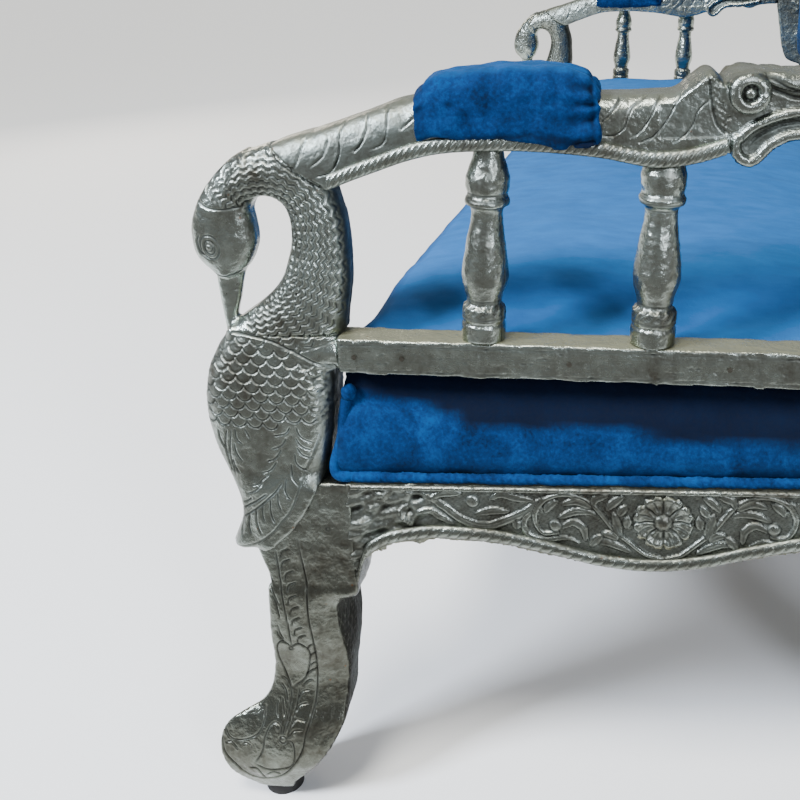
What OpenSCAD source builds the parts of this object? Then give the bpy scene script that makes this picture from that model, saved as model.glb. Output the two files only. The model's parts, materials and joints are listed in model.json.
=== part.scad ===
// Two-seat sofa of carved hardwood clad in white metal sheet, with bird-headed arm fronts and velvet upholstery.
// Millimetres, +Z up. The front faces -Y. The origin is on the floor under the middle of the sofa.
// Each side is drawn in its own frame: x points outwards from the arm's outer face, y to the back, z up.

/* [Plan] */
// Half of the width over the arms, at the middle of each side
side_x = 762; // [600:1:1100]
// Angle by which each side opens towards the front, in degrees
splay = 5.7; // [0:0.1:8]
// Distance from the middle of a side to the seat-side face of a leg block
block_y = 240; // [220:1:320]
// Depth of a leg block, front to back
block_d = 75; // [64:1:84]
// Width of a leg block, across the side
block_w = 62; // [56:1:75]

/* [Heights] */
// Top of the leg blocks and aprons, where the seat rests
deck_z = 313; // [280:1:350]
// Height of a leg block
block_h = 107; // [90:1:120]
// Top of the lower arm rail at its front end
rail_z = 438; // [425:1:465]
// Underside of the arm at the middle of the side
arm_z = 570; // [555:1:610]
// Top of the back stiles
stile_z = 915; // [860:1:1000]
// Top of the crest rail at its middle
crest_z = 975; // [930:1:1060]

/* [Arm] */
// Width of the arm rail
arm_w = 52; // [44:1:60]
// Height of the arm rail at the middle of the side
arm_h = 52; // [46:1:60]
// Setback of the arm rail from the arm's outer face
arm_inset = 2; // [1:0.5:4]
// How far rope mouldings stand proud of the face that carries them
rope_proud = 5; // [3:0.5:7]
// Height of the rope moulding under the arm
arm_rope_h = 12; // [8:0.5:14]
// Radius of the scroll boss at the back of the arm
scroll_r = 14; // [10:0.5:18]
// Width of the lower arm rail
rail_w = 30; // [24:0.5:32]
// Height of the lower arm rail
rail_h = 29; // [22:0.5:34]
// Setback of the lower arm rail from the arm's outer face
rail_inset = 2; // [0:0.5:4]
// Fall of the lower arm rail towards the back, in degrees
rail_fall = 2; // [0:0.5:3]

/* [Spindles] */
// Place of the front spindle along the side
spindle_front_y = -127; // [-150:1:-100]
// Place of the rear spindle along the side
spindle_rear_y = 3; // [-30:1:30]
// Lean of the spindles towards the back, in degrees
spindle_lean = 4; // [0:0.5:5]
// Radius of a spindle at its thickest
spindle_r = 18; // [14:0.5:20]

/* [Bird and legs] */
// Thickness of the bird's body
bird_w = 60; // [50:1:66]
// Thickness of the bird's neck
neck_w = 46; // [36:1:50]
// Thickness of the bird's head
head_w = 36; // [28:1:44]
// Thickness of the beak
beak_w = 16; // [10:1:22]
// How far the bird stands proud of the leg block
bird_proud = 4; // [2:0.5:6]
// Thickness of a foot pad
pad_h = 11; // [5:1:12]
// Radius of a foot pad
foot_r = 17; // [12:1:19]

/* [Aprons and seat frame] */
// Thickness of an apron board
apron_t = 14; // [10:0.5:18]
// Setback of a side apron from the leg block's face
apron_inset = 2; // [1:0.5:5]
// Height of an apron at its middle
apron_h = 73; // [64:1:84]
// Rise of the apron's lower edge at its arches
arch_rise = 26; // [14:1:30]
// Height of the rope moulding along an apron's top
top_rope_h = 5; // [4:0.5:7]
// Height of the rope moulding along an apron's lower edge
low_rope_h = 11; // [8:0.5:14]
// Radius of an apron's flower
flower_r = 23.5; // [16:0.5:25]
// Number of dips and flowers along the front and rear aprons
cross_dips = 3; // [1:1:4]
// Number of flower petals
petals = 8; // [5:1:10]
// Thickness of a seat rail
seat_rail_t = 30; // [24:1:40]
// Height of a seat rail
seat_rail_h = 40; // [30:1:44]
// Number of seat slats
slats = 4; // [2:1:6]
// Width of a seat slat
slat_w = 60; // [40:1:80]

/* [Upholstery] */
// Distance from the sofa's middle to the seat's front face
seat_front = 246; // [236:1:247]
// Distance from the sofa's middle to the seat's rear face
seat_rear = 230; // [220:1:232]
// Height of the seat's top edge above the lower arm rail's top
seat_over = 6; // [2:1:12]
// Crown of the seat's middle over its top edge
seat_crown = 20; // [8:1:30]
// Thickness of the padding and cover outside the seat foam
cover_t = 22; // [16:1:30]
// Thickness of the seat board
board_t = 12; // [9:1:18]
// Radius of the seat piping
piping_r = 4.5; // [3:0.5:6]
// Front end of the arm pad along the side
arm_pad_front = -170; // [-180:1:-150]
// Rear end of the arm pad along the side
arm_pad_rear = -33; // [-50:1:-20]
// Thickness of the arm pad over the rail
arm_pad_t = 22; // [14:1:30]
// Thickness of the arm pad on the rail's sides
arm_pad_side = 7; // [5:0.5:10]

/* [Back] */
// Rake of the back, in degrees from upright
rake = 6; // [3:0.5:10]
// Front plane of the back frame at the lower arm rail's top
back_y = 248; // [246:1:256]
// Thickness of the back rails
back_t = 40; // [30:1:46]
// Height of the back's bottom rail
bottom_rail_h = 84; // [60:1:95]
// Height of the crest rail at its ends
crest_end_h = 64; // [50:1:80]
// Thickness of a back stile
stile_t = 40; // [32:1:50]
// Setback of a back stile from the arm's outer face
stile_inset = 12; // [8:1:16]
// Front edge of the stile where the arm meets it
wing_y = 194; // [188:1:194]
// Depth of a stile above its foot
stile_d = 50; // [44:1:60]
// Thickness of the back pad at its middle
back_pad_t = 46; // [30:1:60]
// Thickness of the plywood behind the back pad
back_board_t = 6; // [4:1:10]

/* [Hidden] */
$fn = 48;

metal = "#8E8F84";
metal_dark = "#6E6C60";
metal_light = "#A9ABA0";
wood = "#8A6A48";
velvet = "#1566A8";
velvet_dark = "#0E3F78";
cloth_black = "#26262A";
foam_pale = "#D8CBA0";
rubber_dark = "#2A2622";

gap = 0.3;
right = 1;
left = -1;
front = -1;
rear = 1;

// Each side turns about the middle of its legs
pivot = 21.5;

// Distance from the sofa's middle to the plane set inset inside the arm's outer face, at y
function half_x(y, inset) = side_x - pivot + (pivot - inset) / cos(splay) - y * tan(splay);

// Plan of the space between the two sides, inset from each side, from y0 to y1
function plan(inset, y0, y1) = [
    [-half_x(y0, inset), y0], [half_x(y0, inset), y0],
    [half_x(y1, inset), y1], [-half_x(y1, inset), y1]
];

// Point at t on the curve from b to c, with a before and d after
function bend(a, b, c, d, t) = 0.5 * (
    2 * b + (c - a) * t + (2 * a - 5 * b + 4 * c - d) * t * t + (3 * b - a - 3 * c + d) * t * t * t
);

// Smooth open curve through the points p, with n steps between two of them
function smooth(p, n = 5) = [
    for (i = [0 : len(p) - 2])
        for (s = [0 : n - 1])
            bend(p[max(i - 1, 0)], p[i], p[i + 1], p[min(i + 2, len(p) - 1)], s / n),
    p[len(p) - 1]
];

// Corners of polygon p rounded over the length r
function rounded(p, r, n = 4) = [
    for (k = [0 : len(p) - 1])
        let (
            c = p[k],
            before = p[(k + len(p) - 1) % len(p)],
            after = p[(k + 1) % len(p)],
            a = c + r * (before - c) / norm(before - c),
            b = c + r * (after - c) / norm(after - c)
        )
        for (s = [0 : n])
            let (t = s / n)
            (1 - t) * (1 - t) * a + 2 * t * (1 - t) * c + t * t * b
];

function reverse(p) = [for (i = [len(p) - 1 : -1 : 0]) p[i]];

// Drawing p moved to the point at and stretched by the two factors
function fitted(p, at, stretch) = [for (q = p) [at[0] + q[0] * stretch[0], at[1] + q[1] * stretch[1]]];

// Closed solid through rings of points, each end closed by a fan to its middle point
module skin(rings, first_mid, last_mid) {
    n = len(rings[0]);
    m = len(rings);
    points = concat([for (ring = rings) each ring], [first_mid, last_mid]);
    walls = [
        for (k = [0 : m - 2])
            for (i = [0 : n - 1])
                let (
                    a = k * n + i,
                    b = k * n + (i + 1) % n,
                    c = a + n,
                    d = b + n
                )
                each [[a, c, b], [b, c, d]]
    ];
    first_fan = [for (i = [0 : n - 1]) [i, (i + 1) % n, n * m]];
    last_fan = [for (i = [0 : n - 1]) [(m - 1) * n + (i + 1) % n, (m - 1) * n + i, n * m + 1]];
    polyhedron(points, concat(walls, first_fan, last_fan), convexity = 6);
}

// Places a side's own frame: dir is right or left
module on_side(dir) {
    mirror([dir == left ? 1 : 0, 0, 0])
        translate([side_x - pivot, 0, 0])
            rotate([0, 0, splay])
                translate([pivot, 0, 0])
                    children();
}

// Turns a drawing in (y, z) into a slab from x0 to x1
module slab(x0, x1) {
    translate([x0, 0, 0])
        rotate([90, 0, 90])
            linear_extrude(height = x1 - x0, convexity = 6)
                children();
}

// Turns a drawing in (x, z) into a slab from y0 to y1
module cross_slab(y0, y1) {
    translate([0, y1, 0])
        rotate([90, 0, 0])
            linear_extrude(height = y1 - y0, convexity = 6)
                children();
}

// Vertical prism that fills the plan between the sides
module between(inset, y0, y1, z0, z1) {
    translate([0, 0, z0])
        linear_extrude(height = z1 - z0)
            polygon(plan(inset, y0, y1));
}

// Frame of the raked back: y = 0 is its front plane, z = 0 is level with the lower arm rail's top
module raked() {
    translate([0, back_y, rail_z])
        rotate([-rake, 0, 0])
            children();
}

// Leg: drawn from the floor under its block's seat-side face, for a block 75 deep whose underside is 206 high
block_z = deck_z - block_h;
leg_stretch = [block_d / 75, block_z / 206];
leg_front = [
    [-75, 252], [-78, 212], [-77, 177], [-81, 130], [-88, 109], [-104, 97], [-128, 79], [-136, 59],
    [-133, 40], [-121, 24], [-101, 10], [-91, 0]
];
leg_rear = [
    [-74, 0], [-73, 11], [-68, 22], [-58, 31], [-48, 42], [-38, 55], [-28, 70], [-21, 87], [-18, 112],
    [-14, 135], [-12, 160], [-12, 195], [-8, 206]
];
// Plan of the leg: the toe is turned outwards
leg_plan = [[20, 0], [20, -150], [4, -146], [-37, -82], [-62, -74], [-75, -74], [-75, 0]];
// The same leg seen from the front, for a block 62 wide, from its outer face
leg_outer = [
    [0, 216], [2, 206], [0, 165], [-7, 128], [-4, 104], [6, 80], [12, 58], [12, 40], [5, 20], [-4, 0]
];
leg_inner = [
    [-46, 0], [-52, 22], [-55, 55], [-52, 92], [-52, 125], [-58, 165], [-62, 206], [-62, 216]
];
foot_place = [-19, -block_y - 88 * block_d / 75];
leg_end_y = block_y + block_d * 2;

module leg_shape() {
    intersection() {
        slab(-block_w - 1, 20)
            polygon(concat(
                smooth(fitted(leg_front, [-block_y, 0], leg_stretch)),
                smooth(fitted(leg_rear, [-block_y, 0], leg_stretch)),
                [[-block_y, block_z + block_h / 3]]
            ));
        cross_slab(-leg_end_y, -block_y + 5)
            polygon(concat(
                smooth(fitted(leg_outer, [0, 0], [block_w / 62, block_z / 206])),
                smooth(fitted(leg_inner, [0, 0], [block_w / 62, block_z / 206]))
            ));
        translate([0, 0, pad_h])
            linear_extrude(height = block_z)
                polygon(fitted(leg_plan, [0, -block_y], [block_w / 62, block_d / 75]));
    }
    translate([-block_w, -block_y - block_d, block_z])
        cube([block_w, block_d, block_h]);
}

module leg(dir, end) {
    color(metal)
        on_side(dir)
            mirror([0, end == rear ? 1 : 0, 0])
                leg_shape();
}

module foot_pad(dir, end) {
    color(rubber_dark)
        on_side(dir)
            mirror([0, end == rear ? 1 : 0, 0])
                translate([foot_place[0], foot_place[1], 0])
                    cylinder(r = foot_r, h = pad_h);
}

// Bird: drawn from a point level with its tail tip, 4 behind the seat's front face, for a block 75 deep.
// Heights below 190 stretch between the tail and the lower arm rail, those above it between the rail and the arm.
bird_back = seat_front + 4;
tail_z = deck_z - 65;
rail_low = rail_z - rail_h;
function bird_z(h) = h < 190
    ? tail_z + h * (rail_z - tail_z) / 190
    : rail_z + (h - 190) * (arm_z - rail_z) / 132;
function bird_y(y) = -bird_back + y * block_d / 75;
function bird(p) = [for (q = p) [bird_y(q[0]), bird_z(q[1])]];
bird_rail_y = bird_y(8);
joint_top = bird([[-34, 335]])[0];
joint_low = bird([[12, 310]])[0];
bird_neck_back = bird([[12, 310], [15, 300], [19, 283], [20, 260], [20, 240], [17, 218], [12, 190]]);
bird_lower_back = bird([
    [1, 160], [0, 140], [-4, 102], [-10, 76], [-19, 55], [-34, 31], [-54, 10], [-70, 1]
]);
bird_breast = bird([
    [-86, -1], [-96, 4], [-94, 13], [-88, 27], [-86, 43], [-91, 60], [-100, 84], [-107, 110], [-108, 134],
    [-104, 158], [-95, 178], [-84, 192]
]);
bird_throat = bird([
    [-77, 199], [-65, 208], [-50, 219], [-36, 235], [-28, 255], [-24, 274], [-26, 290], [-33, 299],
    [-44, 303], [-53, 299], [-57, 291]
]);
bird_crown = bird([[-70, 314], [-56, 331]]);
bird_head = bird([
    [-57, 291], [-55, 280], [-54, 267], [-59, 252], [-67, 242], [-80, 237], [-92, 241], [-104, 254],
    [-107, 268], [-105, 285], [-98, 301], [-88, 315], [-73, 327], [-55, 334]
]);
beak = bird([[-92, 243], [-90, 214], [-87, 186], [-79, 200], [-73, 218], [-66, 246]]);
bird_mid_x = bird_proud - bird_w / 2 - 1;

module bird_post(dir) {
    color(metal)
        on_side(dir)
            difference() {
                union() {
                    slab(bird_mid_x - neck_w / 2, bird_mid_x + neck_w / 2)
                        polygon(concat(
                            smooth(bird_neck_back), bird([[8, 190.5], [-88, 190]]), smooth(bird_throat),
                            bird_crown, [joint_top]
                        ));
                    slab(bird_proud - bird_w, bird_proud)
                        polygon(concat(
                            bird([[8, 190.5]]), [[bird_rail_y, rail_low - gap]],
                            smooth(bird_lower_back), smooth(bird_breast)
                        ));
                    slab(bird_mid_x - head_w / 2, bird_mid_x + head_w / 2)
                        polygon(smooth(bird_head));
                    slab(bird_mid_x - beak_w / 2, bird_mid_x + beak_w / 2)
                        polygon(beak);
                }
                translate([-block_w - 1, -block_y - block_d, block_z])
                    cube([block_w + 1, block_d + 1, block_h]);
            }
}

// Arm rail: drawn from its underside at the middle of the side, for an arm 52 high and a side 480 long
arm_stretch = [block_y / 240, arm_h / 52];
function arm(p) = fitted(p, [0, arm_z], arm_stretch);
scroll_y = 69;
scroll_h = 51;
arm_under = concat([joint_low], arm([
    [-219, -5], [-198, 2], [-176, 9], [-150, 14], [-115, 15], [-75, 13], [-35, 8], [-17, 4], [2, 0],
    [20, 0], [38, 3], [55, 8]
]));
arm_leaf = arm([
    [55, 8], [60, 7], [65, 2], [71, 0], [77, 3], [84, 11], [95, 17], [110, 19], [126, 18], [137, 14],
    [147, 14], [157, 19], [172, 21], [194, 21]
]);
arm_top = arm([[194, 70], [165, 68], [135, 65], [103, 63], [84, 65], [70, 67], [61, 65], [54, 59]]);
arm_top_crest = arm([[54, 59], [49, 65], [42, 68], [29, 59], [19, 52], [-30, 52]]);
arm_top_front = concat(
    arm([[-30, 52], [-100, 55], [-170, 54], [-198, 47], [-213, 42], [-243, 33], [-263, 25]]), [joint_top]
);
arm_outline = concat(
    smooth(arm_under, 4), smooth(arm_leaf, 3), smooth(arm_top, 3), smooth(arm_top_crest, 3),
    smooth(arm_top_front, 4)
);

module arm_prism(x0, x1) {
    slab(x0, x1)
        polygon(arm_outline);
}

module arm_rail(dir) {
    face = -arm_inset;
    color(metal)
        on_side(dir) {
            arm_prism(face - arm_w, face);
            translate(concat([face], arm([[scroll_y, scroll_h]])[0]))
                rotate([0, 90, 0])
                    cylinder(r1 = scroll_r, r2 = scroll_r * 0.7, h = rope_proud);
        }
}
// Band between a curve and the same curve raised by h
module band(curve, h) {
    polygon(concat(curve, reverse([for (p = curve) [p[0], p[1] + h]])));
}

module arm_rope(dir) {
    color(metal_light)
        on_side(dir)
            slab(-arm_inset, rope_proud - arm_inset)
                band(smooth(arm_under, 4), arm_rope_h);
}

// Lower arm rail, falling towards the back
rail_front_y = bird_rail_y;
rail_rear_y = block_y;
function rail_top(y) = rail_z - (y - rail_front_y) * tan(rail_fall);

module rail_side(extra) {
    polygon([
        [rail_front_y, rail_top(rail_front_y)], [rail_rear_y, rail_top(rail_rear_y)],
        [rail_rear_y, rail_top(rail_rear_y) - rail_h - extra],
        [rail_front_y, rail_top(rail_front_y) - rail_h - extra]
    ]);
}

module lower_rail(dir) {
    color(metal)
        on_side(dir)
            slab(-rail_inset - rail_w, -rail_inset)
                rail_side(0);
}

nail_r = 2;
nail_h = 0.8;
nail_ys = [-228, -190, -60, 60, 150, 226];
module rail_nails() {
    color(metal_dark)
        for (dir = [right, left])
            on_side(dir)
                for (y = nail_ys)
                    translate([-rail_inset, y, rail_top(y) - rail_h / 2])
                        rotate([0, 90, 0])
                            cylinder(r = nail_r, h = nail_h, $fn = 16);
}

// Spindle: the turned profile as [share of the length, share of the radius]
spindle_profile = [
    [0, 0.9], [0.02, 0.95], [0.10, 0.95], [0.115, 0.85], [0.13, 0.95], [0.19, 0.95], [0.21, 0.74],
    [0.26, 0.82], [0.31, 0.95], [0.36, 1], [0.42, 0.97], [0.52, 0.85], [0.62, 0.7], [0.67, 0.67],
    [0.70, 0.72], [0.715, 0.97], [0.745, 0.97], [0.76, 0.86], [0.80, 0.93], [0.85, 0.93], [0.90, 0.8],
    [0.95, 0.66], [1, 0.62]
];
spindle_x = -rail_inset - rail_w / 2;
spindle_base = 3;
function spindle_l(y) = (arm_z + 16 + spindle_base - rail_top(y)) / cos(spindle_lean);

module spindle(dir, y) {
    color(metal_light)
        on_side(dir)
            difference() {
                translate([spindle_x, y, rail_top(y) - spindle_base])
                    rotate([-spindle_lean, 0, 0])
                        rotate_extrude()
                            polygon(concat(
                                [[0, 0]],
                                [for (p = spindle_profile) [p[1] * spindle_r, p[0] * spindle_l(y)]],
                                [[0, spindle_l(y)]]
                            ));
                slab(spindle_x - 2 * spindle_r, spindle_x + 2 * spindle_r)
                    rail_side(2 * spindle_base);
                arm_prism(-arm_inset - arm_w, 0);
                slab(-arm_inset - 1, rope_proud)
                    band(smooth(arm_under, 4), arm_rope_h + 5);
            }
}

// Arm pad: rings along the arm, gathered at both ends, wrapped over the rail
pad_mid_x = -arm_inset - arm_w / 2;
pad_low = arm_z + 20;
pad_high = arm_z + arm_h + 2 + arm_pad_t;
pad_mid_z = (pad_high + pad_low) / 2;
pad_points = 28;
pad_gathers = 12;
// Share of the full size left at t along the pad, and how deep its gathers are there
function pad_swell(t) = 1 - 0.4 * pow(abs(2 * t - 1), 5);
function pad_gather(t, a) = 1 - 0.03 * pow(abs(2 * t - 1), 6) * (1 + cos(pad_gathers * a));
function pad_ring(t) = [
    for (i = [0 : pad_points - 1])
        let (
            a = 360 * i / pad_points,
            g = pad_gather(t, a),
            over = sin(a) > 0,
            rise = over ? pad_swell(t) * pow(sin(a), 0.75) : -pow(-sin(a), 0.4)
        )
        [
            pad_mid_x + (arm_w / 2 + arm_pad_side) * g * sign(cos(a)) * pow(abs(cos(a)), 0.45),
            arm_pad_front + t * (arm_pad_rear - arm_pad_front),
            pad_mid_z + (pad_high - pad_low) / 2 * g * rise
        ]
];
module arm_pad(dir) {
    stations = [0, 0.02, 0.07, 0.16, 0.3, 0.5, 0.7, 0.84, 0.93, 0.98, 1];
    color(velvet)
        on_side(dir)
            difference() {
                skin(
                    [for (t = stations) pad_ring(t)],
                    [pad_mid_x, arm_pad_front, pad_mid_z],
                    [pad_mid_x, arm_pad_rear, pad_mid_z]
                );
                translate([0, 0, gap])
                    arm_prism(-arm_inset - arm_w - gap, gap - arm_inset);
                slab(-arm_inset, rope_proud - arm_inset + gap)
                    band(smooth(arm_under, 4), arm_rope_h + gap);
                slab(-arm_inset - arm_w - gap, gap - arm_inset)
                    polygon([
                        [arm_pad_front - 5, arm_z - 20], [arm_pad_rear + 5, arm_z - 20],
                        [arm_pad_rear + 5, arm_z + 30], [arm_pad_front - 5, arm_z + 30]
                    ]);
            }
}

// Apron: its lower edge dips under each flower and comes down beside each leg
apron_low = deck_z - apron_h;
// One dip as [share of half its length, height over its lowest point]
apron_dip = [
    [-0.72, arch_rise], [-0.6, arch_rise - 1], [-0.48, arch_rise - 4], [-0.32, arch_rise * 0.52],
    [-0.17, arch_rise * 0.16], [0, 0], [0.17, arch_rise * 0.16], [0.32, arch_rise * 0.52],
    [0.48, arch_rise - 4], [0.6, arch_rise - 1], [0.72, arch_rise]
];
// Right end of the edge, in the same shares of the last dip
apron_end = [[0.84, arch_rise - 4], [0.91, arch_rise - 10], [0.965, arch_rise - 21], [1, -21]];
function dip_middles(half, dips) = [for (k = [0 : dips - 1]) (2 * k + 1 - dips) * half / dips];
function apron_edge(half, dips) = let (
    reach = half / dips,
    last = half - reach,
    right_end = [for (p = apron_end) [last + p[0] * reach, p[1]]],
    waves = [for (m = dip_middles(half, dips)) for (p = apron_dip) [m + p[0] * reach, p[1]]]
) smooth(
    [for (p = concat(reverse([for (q = right_end) [-q[0], q[1]]]), waves, right_end)) [p[0], apron_low + p[1]]], 4
);
side_dips = 1;

module apron_board(half, dips) {
    polygon(concat(apron_edge(half, dips), [[half, deck_z], [-half, deck_z]]));
}

// Flower with rounded petals round a boss, let into its board by flower_sink
flower_h = 6;
flower_sink = 2;
module flower() {
    translate([0, 0, -flower_sink]) {
        for (k = [0 : petals - 1])
            rotate([0, 0, 360 * (k + 0.5) / petals])
                translate([flower_r * 0.62, 0, 0])
                    cylinder(r = flower_r * 0.36, h = flower_sink + flower_h * 0.7);
        cylinder(r = flower_r * 0.4, h = flower_sink + flower_h * 0.5);
        cylinder(r1 = flower_r * 0.34, r2 = flower_r * 0.2, h = flower_sink + flower_h);
    }
}
flower_y = 11;
flower_z = deck_z - top_rope_h - flower_r - 0.5;

module side_apron(dir) {
    color(metal)
        on_side(dir) {
            slab(-apron_inset - apron_t, -apron_inset)
                apron_board(block_y, side_dips);
            translate([-apron_inset, flower_y, flower_z])
                rotate([0, 90, 0])
                    flower();
        }
}

module side_apron_ropes(dir) {
    color(metal_light)
        on_side(dir) {
            slab(-apron_inset, rope_proud - apron_inset)
                band(apron_edge(block_y - gap, side_dips), low_rope_h);
            translate([-apron_inset, gap - block_y, deck_z - top_rope_h])
                cube([rope_proud - 1, 2 * block_y - 2 * gap, top_rope_h]);
        }
}

// Front and rear aprons run between the seat-side faces of the leg blocks
apron_front_y = bird_back;
cross_half = half_x(0, block_w);

module cross_apron(end) {
    y0 = end == front ? -apron_front_y : apron_front_y - apron_t;
    proud = end == front ? 0 : 180;
    color(metal) {
        intersection() {
            cross_slab(y0, y0 + apron_t)
                apron_board(cross_half, cross_dips);
            between(block_w, y0 - 1, y0 + apron_t + 1, 0, deck_z + 1);
        }
        for (x = dip_middles(cross_half, cross_dips))
            rotate([0, 0, proud])
                translate([x, -apron_front_y, flower_z])
                    rotate([90, 0, 0])
                        flower();
    }
}

module cross_apron_ropes(end) {
    y0 = end == front ? -apron_front_y - rope_proud : apron_front_y;
    color(metal_light)
        intersection() {
            union() {
                cross_slab(y0, y0 + rope_proud)
                    band(apron_edge(cross_half, cross_dips), low_rope_h);
                translate([-side_x, y0, deck_z - top_rope_h])
                    cube([2 * side_x, rope_proud, top_rope_h]);
            }
            between(block_w + gap, y0 - 1, y0 + rope_proud + 1, 0, deck_z + 1);
        }
}

// Seat frame
frame_x = apron_inset + apron_t;
frame_y = apron_front_y - apron_t;
inner_y = frame_y - seat_rail_t;
inner_x = frame_x + seat_rail_t;

module side_seat_rail(dir) {
    color(wood)
        on_side(dir)
            translate([-inner_x, -block_y, deck_z - seat_rail_h])
                cube([seat_rail_t, 2 * block_y, seat_rail_h]);
}

// Plan outline of the corner that a leg block fills
module clear_of_blocks(extra) {
    for (dir = [right, left])
        for (s = [front, rear])
            on_side(dir)
                translate([-block_w - extra, s == front ? -block_y - block_d : block_y - extra, 0])
                    cube([block_w + 100, block_d + extra, deck_z + 1]);
}

module cross_seat_rail(end) {
    y0 = end == front ? -frame_y : inner_y;
    color(wood)
        difference() {
            between(inner_x, y0, y0 + seat_rail_t, deck_z - seat_rail_h, deck_z);
            clear_of_blocks(0);
        }
}

brace_l = 90;
brace_t = 22;
brace_z = deck_z - seat_rail_h + 8;

module corner_braces() {
    reach = inner_y;
    color(wood)
        for (sx = [1, -1])
            for (sy = [front, rear]) {
                corner_x = sx * half_x(sy * reach, inner_x);
                side_x2 = sx * half_x(sy * (reach - brace_l), inner_x);
                translate([0, 0, brace_z])
                    linear_extrude(height = brace_t)
                        polygon([
                            [corner_x, sy * reach], [side_x2, sy * (reach - brace_l)],
                            [corner_x - sx * brace_l, sy * reach]
                        ]);
            }
}

screw_r = 4;
screw_h = 2.5;
module brace_screws() {
    color(metal_dark)
        for (sx = [1, -1])
            for (sy = [front, rear])
                for (step = [0.28, 0.56])
                    translate([
                        sx * (half_x(sy * inner_y, inner_x) - brace_l * step),
                        sy * (inner_y - brace_l * (0.74 - step)),
                        brace_z - screw_h
                    ])
                        cylinder(r = screw_r, h = screw_h, $fn = 24);
}

slat_t = 24;
module seat_slats() {
    span = 2 * (half_x(inner_y, inner_x) - brace_l - slat_w);
    color(wood)
        for (k = [0 : slats - 1])
            translate([-span / 2 + k * span / (slats - 1) - slat_w / 2, -inner_y, deck_z - slat_t])
                cube([slat_w, 2 * inner_y, slat_t]);
}

dust_t = 1.2;
module dust_cover() {
    color(cloth_black)
        difference() {
            between(frame_x + 5, -frame_y + 5, frame_y - 5, deck_z - seat_rail_h - dust_t, deck_z - seat_rail_h);
            clear_of_blocks(gap);
        }
}

// Seat: rings of the cover as [inset of the sides, inset of the front and rear, height]
seat_z = deck_z + gap;
seat_edge = rail_z + seat_over;
rail_inner = rail_inset + rail_w + gap + 0.5;
side_start = 3;
seat_mid = (seat_front + seat_rear) / 2;
crown_steps = 7;
piping_d = 2 * piping_r + gap;
side_in = rail_inner - side_start;
edge_front = 26;
crown_span = seat_mid - edge_front - 40;
seat_rings = concat(
    [
        [piping_d, piping_d, seat_z], [piping_d, piping_d, seat_z + piping_d], [1, 1, seat_z + piping_d + 1],
        [0, 0, seat_z + piping_d + 7], [2, 1, seat_z + 34], [8, 3, rail_low - 40], [18, 8, rail_low - 20],
        [side_in, 14, rail_low - 4], [side_in, 16, rail_z], [side_in + 4, 19, seat_edge - 2],
        [side_in + 14, edge_front, seat_edge + 2]
    ],
    [
        for (k = [1 : crown_steps])
            let (t = k / crown_steps)
            [
                side_in + 14 + t * crown_span, edge_front + t * crown_span,
                seat_edge + 2 + seat_crown * (1 - pow(1 - t, 2))
            ]
    ]
);
function seat_outline(side, ends) = rounded(
    plan(side_start + side, -seat_front + ends, seat_rear - ends), min(22, 8 + side), 4
);
// The seat's top falls with the lower arm rails
function fallen(p) = [
    p[0], p[1],
    p[2] - (p[1] + seat_front) * tan(rail_fall) * max(0, min(1, (p[2] - seat_z - 30) / (seat_edge - seat_z - 30)))
];
board_inset = 28;
foam_inset = rail_inner + cover_t;
board_z = deck_z + board_t;
foam_top = seat_edge - 14 - (seat_front + seat_rear) * tan(rail_fall);

module seat_cover() {
    color(velvet)
        difference() {
            skin(
                [for (r = seat_rings) [for (p = seat_outline(r[0], r[1])) fallen([p[0], p[1], r[2]])]],
                [0, 0, seat_z],
                fallen([0, (seat_rear - seat_front) / 2, seat_edge + 2 + seat_crown])
            );
            between(
                foam_inset - gap, -seat_front + cover_t + edge_front - gap,
                seat_rear - cover_t - edge_front + gap, deck_z, foam_top + gap
            );
            between(
                board_inset - gap, -seat_front + cover_t - gap, seat_rear - cover_t + gap,
                deck_z - 1, board_z + gap
            );
        }
}

module seat_foam() {
    color(foam_pale)
        between(
            foam_inset, -seat_front + cover_t + edge_front, seat_rear - cover_t - edge_front, board_z, foam_top
        );
}

module seat_board() {
    color(wood)
        between(board_inset, -seat_front + cover_t, seat_rear - cover_t, deck_z, board_z);
}

function unit(v) = v / norm(v);

// Round cord of radius r along the closed run of plan points p
module cord(p, r, sides = 12) {
    n = len(p);
    points = [
        for (k = [0 : n - 1])
            let (
                heading = unit(unit(p[(k + 1) % n] - p[k]) + unit(p[k] - p[(k + n - 1) % n])),
                across = [heading[1], -heading[0]]
            )
            for (i = [0 : sides - 1])
                let (a = 360 * i / sides, q = p[k] + across * r * cos(a))
                [q[0], q[1], r * sin(a)]
    ];
    faces = [
        for (k = [0 : n - 1])
            for (i = [0 : sides - 1])
                let (
                    a = k * sides + i,
                    b = k * sides + (i + 1) % sides,
                    c = ((k + 1) % n) * sides + i,
                    d = ((k + 1) % n) * sides + (i + 1) % sides
                )
                each [[a, b, c], [b, d, c]]
    ];
    polyhedron(points, faces, convexity = 6);
}

piping_bend = 12;
module seat_piping() {
    color(velvet)
        translate([0, 0, seat_z + piping_r])
            cord(
                rounded(plan(side_start + piping_r, -seat_front + piping_r, seat_rear - piping_r), piping_bend),
                piping_r
            );
}

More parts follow.
